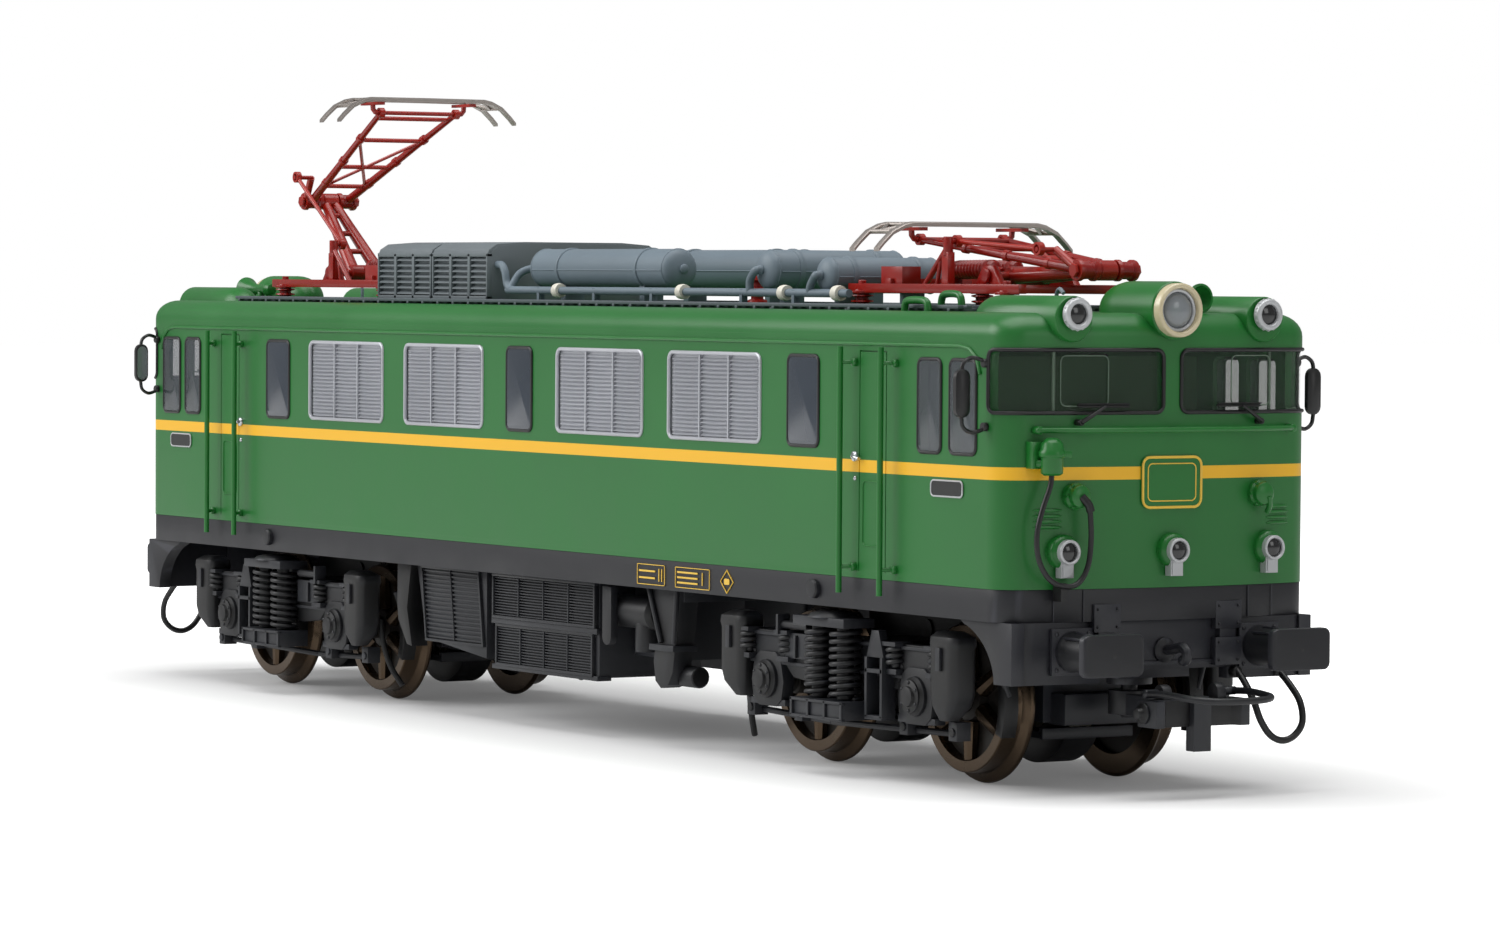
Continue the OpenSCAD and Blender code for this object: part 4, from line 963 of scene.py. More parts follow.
def make_hoses():
    route = [(92.0, 13.4, 11.4), (93.4, 13.6, 10.3), (94.9, 13.85, 8.6), (95.8, 13.5, 6.7),
             (96.0, 12.4, 5.45),
             (96.0, 11.0, 5.05), (96.0, 9.6, 5.6), (95.8, 8.6, 7.0), (95.2, 8.2, 8.8), (93.9, 8.1, 10.5),
             (92.4, 8.1, 11.8)]
    hose = Part().tube(smooth_path(route, 8), 0.33, 12)
    hose.bar((92.0, 13.4, 10.9), (92.0, 13.4, 12.1), 0.55, n=14)
    hose.bar((92.0, 8.1, 11.4), (92.9, 8.1, 11.4), 0.55, n=14)
    piece("air_hoses", Part().add(hose, ENDS), RUBBER, ROOT, ["brake_hoses"], angle=50)


def make_couplings():
    hinge_x = 96.25
    for number, place in ((2, ONCE[0]), (1, TURN)):
        head = Part()
        head.lathe([(2.0, 0), (2.0, 2.3)], (86.5, 0, 7.3), Z, 28)
        head.box(86.5, 95.6, -1.4, 1.4, 7.3, 9.3)
        head.prism([(95.4, -5.4), (98.4, -5.4), (98.4, -4.4), (97.6, -3.8), (97.6, 3.8), (98.4, 4.4),
                    (98.4, 5.4),
                    (95.4, 5.4)], (0, 0, 6.9), X, Y, 2.5)
        head.prism([(97.0, 4.6), (98.3, 4.6), (98.3, 9.2), (97.9, 9.7), (97.0, 9.7)], (0, -1.0, 0), X, Z,
                   -2.0)
        for y in (-3.1, 3.1):
            head.prism(arc(0, 0, 0.8, 0, 180, 8) + [(-0.8, -0.9), (0.8, -0.9)], (hinge_x, y + 0.5, 10.0), X,
                       Z, 1.0)
        head.lathe([(1.0, 0), (1.0, 0.25), (0.55, 0.4), (0.5, 0.9)], (96.4, -5.4, 8.2), (0, -1, 0), 20)
        head.lathe([(1.0, 0), (1.0, 0.25), (0.55, 0.4), (0.5, 0.9)], (96.4, 5.4, 8.2), Y, 20)
        part = Part().add(head, [place])
        piece(f"coupling_block_{number}", part, BLACK, f"coupling_{number}", [f"coupler_head_{number}"],
              bevel=0.08, angle=35)
        loop = smooth_path([(hinge_x, -4.9, 10), (99, -4.9, 10.1), (102.6, -4.5, 9.9), (104.1, -3.0, 9.75),
                            (104.45, 0, 9.7),
                            (104.1, 3.0, 9.75), (102.6, 4.5, 9.9), (99, 4.9, 10.1), (hinge_x, 4.9, 10)], 6)
        wire = Part().tube(loop, 0.33, 10)
        wire.bar((hinge_x, -5.25, 10), (hinge_x, -3.7, 10), 0.4, n=14)
        wire.bar((hinge_x, 3.7, 10), (hinge_x, 5.25, 10), 0.4, n=14)
        piece(f"coupling_bail_{number}", Part().add(wire, [place]), BLACK, f"loop_{number}",
              [f"coupler_loop_{number}"],
              angle=50)


# roof


def make_walkways():
    part = Part()
    for y in (11.5, 12.5, 9.3):
        part.add(Part().box(-78, 76, y - 0.32, y + 0.32, 45.55, 45.9), SIDES)
    for i in range(44):
        x = -77 + i * 3.52
        part.add(Part().box(x - 0.22, x + 0.22, 9.0, 12.85, 45.3, 45.62), SIDES)
    for i in range(11):
        x = -70 + i * 14
        part.add(Part().box(x - 0.3, x + 0.3, 9.6, 12.6, 45.0, 45.5), SIDES)
    piece("walkway_boards", part, WALK_GREY, ROOT, ["roof_walkways"], bevel=0.05)


def make_ventilators():
    part = Part()
    for x0 in (-45.4, -32.4):
        x1 = x0 + 12.7
        side = [(-10.4, ROOF_Z - 0.1), (-10.4, 51.1), (-9.6, 51.75), (-6.2, 52.05), (0, 52.1), (6.2, 52.05),
                (9.6, 51.75),
                (10.4, 51.1), (10.4, ROOF_Z - 0.1)]
        part.prism(side, (x0, 0, 0), Y, Z, x1 - x0)
        cover = [(-10.9, 50.9), (-10.7, 51.35), (-9.7, 51.95), (-6.2, 52.2), (6.2, 52.2), (9.7, 51.95),
                 (10.7, 51.35),
                 (10.9, 50.9)]
        part.prism(cover, (x0 + 0.05, 0, 0), Y, Z, x1 - x0 - 0.1)
        frame = Part()
        bays = 3
        width = (x1 - x0) / bays
        for z in (46.0, 50.75):
            frame.box(x0, x1, -11.0, -10.3, z - 0.22, z + 0.22)
        for b in range(bays + 1):
            x = x0 + width * b
            frame.box(max(x - 0.28, x0), min(x + 0.28, x1), -11.0, -10.3, 45.8, 50.9)
        for b in range(bays):
            for i in range(7):
                z = 46.35 + i * 0.62
                xa, xb = x0 + width * b + 0.28, x0 + width * (b + 1) - 0.28
                frame.prism([(-10.95, z - 0.02), (-10.85, z + 0.16), (-10.35, z + 0.42), (-10.35, z + 0.22)],
                            (xa, 0, 0), Y, Z, xb - xa)
        part.add(frame, SIDES)
    part.box(-32.75, -32.35, -10.2, 10.2, ROOF_Z - 0.1, 51.6)
    piece("ventilator_cowls", part, DUCT_GREY, ROOT, ["ventilator_boxes"], bevel=0.07)


def tank(length, r):
    """Air tank along X about the origin: domed ends, two straps and a long seam."""
    part = Part()
    dome = [(r * math.sin(math.radians(t)), -length / 2 + 0.5 * r * (1 - math.cos(math.radians(t))))
            for t in range(0, 91, 15)]
    profile = dome + [(r, length / 2 - 0.5 * r)] + [(a, -h) for a, h in reversed(dome)]
    part.lathe(profile, (0, 0, 0), X, 40)
    for k in (-0.28, 0.28):
        part.lathe([(r, -0.32), (r + 0.14, -0.26), (r + 0.14, 0.26), (r, 0.32)], (k * length, 0, 0), X, 40)
    for k in (-0.5, 0.5):
        x = k * (length - r * 1.05)
        part.lathe([(r, -0.1), (r + 0.07, -0.06), (r + 0.07, 0.06), (r, 0.1)], (x, 0, 0), X, 40)
    part.box(-length / 2 + r * 0.6, length / 2 - r * 0.6, -r - 0.08, -r + 0.1, -0.25, -0.1)
    for k in (-1, 1):
        part.lathe([(0.5, 0), (0.5, 0.35), (0.3, 0.45), (0, 0.5)], (k * length / 2 - k * 0.1, 0, 0),
                   (k, 0, 0), 16)
    return part


def make_tanks():
    part = Part()
    cross = Matrix.Rotation(math.radians(90), 4, "Z")
    for length, r, place in ((30, 2.1, moved(-0.2, -6.5, 49.3)), (30, 2.1, moved(4, 6.5, 49.3)),
                             (17, 2.05, moved(34.8, -0.8, 49.2) @ cross),
                             (14, 1.8, moved(46.3, -2.4, 48.7) @ cross)):
        part.add(tank(length, r), [place])
    for x, y in ((-8.6, -6.5), (8.2, -6.5), (-4.4, 6.5), (12.4, 6.5), (34.8, -5.6), (34.8, 4), (46.3, -6.3),
                 (46.3, 1.5)):
        part.box(x - 0.5, x + 0.5, y - 1.2, y + 1.2, ROOF_Z - 0.1, 47.7)
    piece("roof_air_tanks", part, ROOF_GREY, ROOT, ["air_tanks"], bevel=0.06, angle=28)


def make_roof_pipes():
    part = Part()
    z = 46.9
    y = -9.7
    main = smooth_path([(-19.6, y, 49.7), (-18.6, y, 49.6), (-17.9, y, 48.8), (-17.5, y, 47.6),
                        (-16.6, y, 47.0), (-15, y, z),
                        (10, y, z), (30, y, z), (52, y, z)], 6)
    part.tube(main, 0.42, 12)
    part.tube([(-19.6, 9.7, z), (0, 9.7, z), (20, 9.7, z)], 0.4, 12)
    for x, end_y, top in ((-15.8, -7.2, 49.3), (34.8, -9.35, 49.2), (46.3, -9.45, 48.7)):
        if x > 0:
            elbow = [(x, end_y + 0.1, top), (x, end_y - 0.5, top), (x - 0.7, y - 0.15, top - 0.4),
                     (x - 1.4, y - 0.1, top - 1.2), (x - 1.5, y, z)]
        else:
            elbow = [(x + 0.5, end_y, top), (x - 0.4, end_y, top), (x - 1.0, y + 1.2, top - 0.6),
                     (x - 1.1, y, z)]
        part.tube(smooth_path(elbow, 6), 0.42, 12)
    for x in (22, 27):
        part.tube([(x, y, z), (x, 0, z - 0.2), (x, 9.7, z)], 0.3, 10)
    for x in (-10, 2, 14, 32, 42):
        part.box(x - 0.25, x + 0.25, y - 0.35, y + 0.35, ROOF_Z - 0.05, z + 0.3)
    white = Part()
    for x in (-6, 20, 40, 50):
        white.lathe([(0.75, -0.5), (0.8, -0.2), (0.8, 0.2), (0.75, 0.5)], (x, y, z), X, 16, m=1)
    part.add(white)
    piece("roof_pipework", part, [ROOF_GREY, NYLON], ROOT, ["roof_pipes"], angle=40)


def insulator(x, y, z0, height, r):
    profile = [(r * 0.62, 0)]
    ribs = 3
    for i in range(ribs):
        base = height * (i + 0.15) / ribs
        profile += [(r * 0.6, base), (r, base + height * 0.08), (r * 0.95, base + height * 0.16),
                    (r * 0.6, base + height * 0.2)]
    profile += [(r * 0.6, height)]
    return Part().lathe(profile, (x, y, z0), Z, 24)


def make_insulators():
    part = Part()
    for x, y in ((50.5, -7.2), (50.5, 7.2), (76, -7.2), (76, 7.2)):
        part.add(insulator(x, y, ROOF_Z, 1.7, 1.15), [ONCE[0], MIRROR_X])
    for x in (-47.3, 19):
        part.add(insulator(x, 0, ROOF_Z, 3.6, 1.1))
    piece("rib_insulators", part, RED, ROOT, ["roof_insulators"], angle=35)


def make_horns():
    part = Part()
    horn = Part()
    horn.lathe([(0.0, -0.9), (0.6, -0.7), (0.9, 0), (0.7, 0.6), (0.5, 1.2), (0.6, 3.5), (0.9, 4.8),
                (1.4, 5.9), (1.42, 6.1),
                (1.2, 6.15), (0.7, 5.0), (0, 4.6)], (84.2, 5.2, 46.7), X, 28)
    horn.bar((86.4, 5.2, ROOF_Z - 0.3), (86.4, 5.2, 46.5), 0.45, n=14)
    part.add(horn, ENDS)
    for x, y, z, half, high in ((70, -13.6, 44.6, 2.0, 1.7), (72, -10.9, 45.0, 1.7, 1.9)):
        bend = 0.6
        lug = smooth_path([(x - half, y, z), (x - half, y, z + high - bend), (x - half + bend, y, z + high),
                           (x + half - bend, y, z + high), (x + half, y, z + high - bend),
                           (x + half, y, z)], 5)
        part.add(Part().tube(lug, 0.36, 10), ENDS)
    hook = smooth_path([(85.4, -8, ROOF_Z - 0.4), (85.4, -8, 46.8), (85.9, -8, 47.5), (86.6, -8, 47.1)], 5)
    part.add(Part().tube(hook, 0.2, 8, m=1), ENDS)
    piece("roof_horns", part, [GREEN_TRIM, ROOF_GREY], ROOT, ["horns"], angle=45)


# pantographs

PAN_X, PAN_Z = 69.0, 48.7
ARM_LOW, ARM_UP = 13.0, 24.7
FOLD, LIFT = 2.6, 38.4
ROD_FOOT = (64.85, 52.06)
ROD_LEN, ROD_Y = 14.0, -5.5


def polar(p, length, degrees):
    a = math.radians(degrees)
    return p[0] + length * math.cos(a), p[1] + length * math.sin(a)


def pan_points(lift):
    knee = polar((PAN_X, PAN_Z), ARM_LOW, FOLD + lift)
    rise = 6.93 + 0.444 * lift
    head = polar(knee, ARM_UP, 180 - rise)
    lever = polar(knee, 3.67, 180 - rise - 25.3)
    top = polar(ROD_FOOT, ROD_LEN, -3.08 + 0.986 * lift)
    return knee, head, lever, top


def at(p, y):
    return V((p[0], y, p[1]))


def pan_base_part():
    part = Part()
    side = Part()
    side.box(48.6, 78.6, 6.75, 7.65, 47.0, 47.9)
    side.prism([(66.6, 47.6), (71.4, 47.6), (70.0, 49.3), (69.6, 49.7), (68.4, 49.7), (68.0, 49.3)],
               (0, 4.75, 0),
               X, Z, 0.75)
    side.bar((PAN_X, 4.85, PAN_Z), (PAN_X, 5.2, PAN_Z), 0.75, n=20)
    side.box(66.0, 72.0, 4.0, 7.0, 47.05, 47.5)
    for x in (50.5, 76):
        side.lathe([(1.2, 0), (1.2, 0.25), (0.8, 0.3), (0.8, 0.42)], (x, 7.2, 46.9), Z, 20)
        side.bar((x, 7.2, 47.8), (x, 7.2, 48.25), 0.42, n=6)
    part.add(side, SIDES)
    for x in (49.6, 77.4):
        part.box(x - 0.5, x + 0.5, -7.5, 7.5, 47.05, 47.85)
    part.box(64.3, 65.4, -6.95, -6.15, 47.5, 51.0)
    part.bar((ROD_FOOT[0], -6.55, 50.6), (ROD_FOOT[0], -6.55, ROD_FOOT[1] + 0.45), 0.5, n=14)
    part.bar((ROD_FOOT[0], -6.7, ROD_FOOT[1]), (ROD_FOOT[0], -4.95, ROD_FOOT[1]), 0.25, n=12)
    pot = [(0.4, 0), (0.9, 0.2), (0.95, 0.8)]
    for i in range(9):
        pot += [(0.95, 1.0 + 0.55 * i), (0.78, 1.15 + 0.55 * i), (0.78, 1.3 + 0.55 * i),
                (0.95, 1.45 + 0.55 * i)]
    pot += [(0.95, 6.6), (0.7, 6.9), (0.3, 7.0)]
    for y in (-1.35, 1.35):
        # ribbed spring pots with a pull rod
        part.lathe(pot, (58.4, y, 49.3), (1, 0, 0.01), 24)
        part.bar((65.2, y, 49.4), (66.6, y, 49.2), 0.32, n=12)
        part.box(58.0, 58.9, y - 0.5, y + 0.5, 47.2, 49.4)
    part.bar((60.6, -6.55, 47.6), (64.7, -6.55, 51.4), 0.3, n=12)
    part.bar((62.9, -6.55, 47.6), (63.6, -6.55, 50.4), 0.22, n=10)
    part.box(54.3, 55.3, -7.0, 7.0, 47.05, 48.4)
    part.box(62.9, 63.6, -7.0, 7.0, 47.05, 47.9)
    part.box(53.0, 56.8, -6.6, -4.4, 47.3, 49.6)
    return part


def make_pan_base():
    part = Part().add(pan_base_part(), [ONCE[0], MIRROR_X])
    piece("pantograph_bases", part, RED, ROOT, ["pantograph_frames"], bevel=0.06, angle=35)


def lower_arm_part(lift):
    knee = pan_points(lift)[0]
    part = Part().bar((PAN_X, -4.85, PAN_Z), (PAN_X, 4.85, PAN_Z), 0.42)
    part.bar((PAN_X, -2.3, PAN_Z), (PAN_X, 2.3, PAN_Z), 0.95, n=24)
    for y in (-1.0, 1.0):
        part.tube([V((PAN_X, y * 1.7, PAN_Z)), at(knee, y * 0.55)], 0.6, 16, radii=[0.78, 0.56])
    for t in (0.3, 0.55, 0.8):
        p = V((PAN_X, 0, PAN_Z)).lerp(at(knee, 0), t)
        part.bar(p - V((0, 1.5 - t * 0.9, 0)), p + V((0, 1.5 - t * 0.9, 0)), 0.32, n=10)
    part.bar(at(knee, -0.98), at(knee, 0.98), 0.98, n=24)
    part.bar(at(knee, -3.75), at(knee, 3.75), 0.38, n=14)
    for k in (-1, 1):
        part.bar(at(knee, k * 3.5), at(knee, k * 3.8), 0.7, n=6)
    return part


def upper_arm_part(lift):
    knee, head, lever, _ = pan_points(lift)
    part = Part()

    def along(t, y):
        return at((knee[0] + (head[0] - knee[0]) * t, knee[1] + (head[1] - knee[1]) * t), y)

    for k in (-1, 1):
        part.tube([along(0, k * 2.3), along(0.03, k * 2.38), along(0.97, k * 4.85), along(1, k * 4.9)], 0.4,
                  14,
                  radii=[0.55, 0.5, 0.34, 0.34])
        open_lathe(part, [(0.46, -1.15), (0.46, 1.15), (1.0, 1.15), (1.05, 1.0), (1.05, 0.7), (0.85, 0.55),
                          (0.85, -0.55),
                          (1.05, -0.7), (1.05, -1.0), (1.0, -1.15)], at(knee, k * 2.25), Y, 28)
        open_lathe(part, [(0.33, -0.32), (0.33, 0.32), (0.58, 0.32), (0.58, -0.32)], at(head, k * 4.92), Y,
                   20)
    for t, y in ((0.18, 2.7), (0.4, 3.35), (0.7, 4.15), (0.94, 4.8)):
        part.bar(along(t, -y), along(t, y), 0.26, n=10)
    part.bar(along(0.18, 2.7), along(0.7, -4.15), 0.2, n=8)
    part.bar(along(0.18, -2.7), along(0.7, 4.15), 0.2, n=8)
    for t in (0.2, 0.45, 0.7):
        for k in (-1, 1):
            p, q = along(t, k * (2.3 + 2.6 * t)), along(t + 0.03, k * (2.3 + 2.6 * (t + 0.03)))
            part.bar(p, q, 0.55, n=14)
    part.tube([at(knee, -3.1), at(lever, -3.6)], 0.42, 12)
    part.bar(at(lever, -3.4), at(lever, -5.85), 0.25, n=12)
    return part


def head_part(lift):
    head = pan_points(lift)[1]
    hx, hz = head
    part = Part().bar((hx, -5.7, hz), (hx, 5.7, hz), 0.25, n=12)
    for k in (-1, 1):
        part.tube([(hx, k * 5.6, hz), (hx, k * 5.95, hz + 0.4), (hx, k * 6.0, hz + 1.1)], 0.3, 10)
        part.box(hx - 2.5, hx + 2.5, k * 6 - 0.28, k * 6 + 0.28, hz + 0.85, hz + 1.2)
    for x in (-2.2, 2.2):
        path = [(-11.5, -1.0), (-10.9, -0.35), (-9.8, 0.65), (-8.4, 1.3), (-7.4, 1.5), (0, 1.52),
                (7.4, 1.5), (8.4, 1.3), (9.8, 0.65),
                (10.9, -0.35), (11.5, -1.0)]
        lower = [V((hx + x, y, hz + z - 0.22)) for y, z in path]
        rings = [[V((p.x + a, p.y, p.z + b)) for a, b in ((-0.5, 0), (0.5, 0), (0.5, 0.32), (0.3, 0.44),
                                                          (-0.3, 0.44), (-0.5, 0.32))]
                 for p in lower]
        part.loft(rings, m=1)
    for k in (-1, 1):
        for y, z, y2, z2 in ((7.3, 1.5, 9.5, 0.8), (7.3, 1.5, 7.3, 1.5), (9.5, 0.8, 9.5, 0.8)):
            for side in (-1, 1):
                part.bar((hx + side * 2.2, k * y, hz + z - 0.05), (hx, k * y2, hz + z2 - 0.05), 0.24, n=8,
                         m=1)
    bmesh.ops.recalc_face_normals(part.bm, faces=part.bm.faces)
    return part


def guide_part(lift):
    top = pan_points(lift)[3]
    part = Part().tube([at(ROD_FOOT, ROD_Y), at(top, ROD_Y)], 0.24, 12)
    open_lathe(part, [(0.32, -0.3), (0.32, 0.3), (0.62, 0.3), (0.62, -0.3)], at(ROD_FOOT, ROD_Y), Y, 20)
    open_lathe(part, [(0.42, -0.3), (0.42, 0.3), (0.66, 0.3), (0.66, -0.3)], at(top, ROD_Y), Y, 20)
    return part


def make_pantographs():
    make_pan_base()
    for number, place, lift in ((1, MIRROR_X, LIFT), (2, ONCE[0], 0.0)):
        for label, maker, node, body, mats in (
                ("lower", lower_arm_part, "lower_arm", "low_arm", RED),
                ("upper", upper_arm_part, "upper_arm", "high_arm", RED),
                ("collector", head_part, "pan_head", "head", [RED, STEEL]),
                ("guide", guide_part, "guide_rod", "guide", RED)):
            part = Part().add(maker(lift), [place])
            piece(f"pantograph_{label}_{number}", part, mats, f"{body}_{number}", [f"{node}_{number}"],
                  angle=40)


# bogies, drawn about their own pivot


def coil(x, y, z0, z1, r, wire, turns):
    steps = int(turns * 20)
    path = [V((x + r * math.cos(2 * math.pi * turns * i / steps),
               y + r * math.sin(2 * math.pi * turns * i / steps),
               z0 + (z1 - z0) * i / steps)) for i in range(steps + 1)]
    part = Part().tube(path, wire, 8)
    part.bar((x, y, z0 - 0.1), (x, y, z1 + 0.1), r * 0.62, n=16)
    return part


def sand_box(x, k):
    """Tapered box at a bogie end with a flared shoulder; k is the way it faces."""
    part = Part()
    low, high = 7.2, 14.6
    rings = []
    for z, a, b in ((low - 0.6, 0.35, 0.5), (low + 0.8, 0.85, 0.92), (low + 2.0, 1, 1), (high - 1.2, 1, 1),
                    (high - 0.7, 1.06, 1.06), (high, 1.02, 1.02), (high + 0.5, 0.6, 0.6)):
        rings.append([(x + k * 2.2 * (u * a + (a - 1) * 0.4), -15.1 + v * 1.5 * b, z)
                      for u, v in round_rect(2, 2, 0.5, 4)])
    part.loft(rings)
    bmesh.ops.recalc_face_normals(part.bm, faces=part.bm.faces)
    part.box(x - 0.35, x + 0.35, -16.9, -16.5, 11.4, 13.6)
    return part


def axlebox(x):
    part = Part()
    z, face_y = 8.6, -14.3
    part.prism([(-2.6, 6.6), (-1.6, 5.9), (1.6, 5.9), (2.6, 6.6), (3.0, 8.4), (2.4, 10.6), (1.4, 11.3),
                (-1.4, 11.3), (-2.4, 10.6), (-3.0, 8.4)],
               (x, face_y, 0), X, Z, 1.3)
    part.lathe([(1.95, 1.2), (1.9, 1.6), (1.6, 1.9), (1.6, 2.1), (1.0, 2.15), (0.95, 2.45), (0, 2.5)],
               (x, face_y, z), (0, -1, 0), 24)
    for i in range(6):
        t = math.radians(60 * i + 30)
        part.ball((x + 1.35 * math.cos(t), -16.4, z + 1.35 * math.sin(t)), 0.2, 8)
    part.box(x - 3.2, x + 3.2, -15.5, face_y, 6.0, 6.6)
    return part


def bogie_side():
    """One side frame at -Y."""
    part = Part()
    y0, y1 = -15.3, -14.15
    part.prism([(-19.4, 10.2), (-10.5, 10.2), (-9.0, 9.0), (-5.2, 8.6), (5.2, 8.6), (9.0, 9.0),
                (10.5, 10.2), (19.4, 10.2), (19.4, 13.0),
                (16.5, 13.4), (-16.5, 13.4), (-19.4, 13.0)], (0, y1, 0), X, Z, y1 - y0)
    for z in (10.3, 13.1):
        part.box(-19.2, 19.2, y0 - 0.25, y0 + 0.1, z - 0.16, z + 0.16)
    for x in (-HALF_BASE, HALF_BASE):
        part.add(axlebox(x))
        for k in (-3.65, 3.65):
            part.add(coil(x + k, -15.4, 11.2, 13.3, 0.85, 0.26, 3.5))
            part.box(x + k - 1.2, x + k + 1.2, -16.4, -14.4, 13.2, 13.6)
            part.box(x + k - 1.1, x + k + 1.1, -16.2, -14.6, 10.5, 11.0)
    # window bracket and damper post either side of the coil pack
    for x, tall in ((7.6, True), (-7.4, False)):
        if tall:
            for a in (-1.35, 1.35):
                part.box(x + a - 0.2, x + a + 0.2, -16.7, -15.1, 6.2, 12.0)
            for z in (6.2, 10.7):
                part.box(x - 1.5, x + 1.5, -16.7, -15.1, z - 0.2, z + 0.2)
            part.prism([(-1.5, 12.0), (1.5, 12.0), (0.6, 14.6), (-0.6, 14.6)], (x, -15.6, 0), X, Z, 0.9)
        else:
            part.bar((x - 2.6, -15.9, 14.2), (x + 2.2, -15.9, 14.2), 0.42, n=14)
            part.box(x - 2.9, x - 2.5, -16.6, -15.2, 13.2, 15.2)
            part.box(x - 2.2, x + 2.8, -15.9, -15.1, 10.9, 13.4)
            part.box(x - 0.3, x + 0.1, -16.2, -15.8, 11.0, 13.2)
    # brake shoes, hangers and rod
    for x in (-HALF_BASE, HALF_BASE):
        for k in (-1, 1):
            shoe = arc(0, 0, 8.1, -20, 24, 5) + list(reversed(arc(0, 0, 9.2, -20, 24, 5)))
            part.prism([(a * k, b) for a, b in (shoe if k > 0 else list(reversed(shoe)))],
                       (x, -10.0, AXLE_Z), X, Z, 1.6)
            part.bar((x + k * 9.0, -11, 9.0), (x + k * 8.6, -12.4, 12.8), 0.3, n=10)
    part.bar((-18.6, -13.2, 5.2), (-5, -13.2, 4.8), 0.32, n=10)
    part.bar((-5, -13.2, 4.8), (18.2, -13.2, 5.2), 0.32, n=10)
    for x in (-18.4, -9.5, 9.5, 18.0):
        part.box(x - 0.7, x + 0.7, -14.4, -12.8, 4.6, 6.4)
        part.bar((x, -14.6, 5.4), (x, -12.6, 5.4), 0.45, n=10)
    guard = smooth_path([(-20.2, -13.4, 9.6), (-20.6, -13.2, 7.0), (-21.2, -12.6, 4.4),
                         (-22.2, -11.6, 2.2)], 4)
    part.tube(guard, 0.34, 8)
    for k in (-1, 1):
        part.add(sand_box(k * 19.0, k))
    return part


def spring_pack():
    part = Part()
    for x in (-2.25, 2.25):
        part.add(coil(x, -16.4, 7.6, 14.5, 1.4, 0.27, 9.5))
    part.box(-4.6, 4.6, -18.2, -14.6, 14.6, 15.5)
    part.lathe([(1.6, 0), (2.6, 0.2), (2.2, 0.6), (1.4, 0.8)], (0, -16.4, 15.3), Z, 24)
    part.box(-4.7, 4.7, -18.2, -14.6, 5.7, 7.5)
    for x in (-4.5, -1.5, 1.5, 4.5):
        part.box(x - 0.18, x + 0.18, -18.45, -18.0, 5.7, 7.5)
    for z in (5.75, 7.35):
        part.box(-4.7, 4.7, -18.45, -18.0, z - 0.14, z + 0.14)
    return part


def keeper():
    """Keeper plate with a drum cover under each axle gear."""
    pan = Part().box(-7.0, 7.0, -5.3, 5.3, 4.5, 5.2)
    for x0, x1 in ((-19.8, -19.1), (19.1, 19.8)):
        pan.box(x0, x1, -5.3, 5.3, 4.5, 5.6)
    pan.add(Part().box(-19.5, 19.5, -5.3, -2.1, 4.6, 5.3), SIDES)
    pan.box(-22.4, -19.5, -4.5, 4.5, 6.0, 9.0)
    pan.box(19.5, 22.4, -4.5, 4.5, 6.0, 9.0)
    inner, outer, half, wall = 6.05, 6.45, 1.9, 0.4
    section = [(inner, -half + wall), (inner, half - wall), (3.0, half - wall), (3.0, half), (outer, half),
               (outer, -half), (3.0, -half), (3.0, -half + wall)]
    for x in (-HALF_BASE, HALF_BASE):
        rings = [[V((x + r * math.cos(t), y, AXLE_Z + r * math.sin(t))) for r, y in section]
                 for t in (math.radians(205 + 130 * i / 24) for i in range(25))]
        drum = Part().loft(rings)
        bmesh.ops.recalc_face_normals(drum.bm, faces=drum.bm.faces)
        pan.add(drum)
    return pan


def make_bogies():
    for number, place in ((2, moved(PIVOT)), (1, moved(-PIVOT) @ TURN)):
        body = f"bogie_{number}"
        both = [place, place @ MIRROR_Y]
        for label, node, maker, bevel in (("frames", "sides", bogie_side, 0.06),
                                          ("coils", "springs", spring_pack, 0.05)):
            piece(f"bogie_{label}_{number}", Part().add(maker(), both), BLACK, body,
                  [f"bogie_{node}_{number}"],
                  bevel=bevel, angle=35)
        piece(f"keeper_plate_{number}", Part().add(keeper(), [place]), BLACK, body, [f"gear_cover_{number}"],
              bevel=0.12)


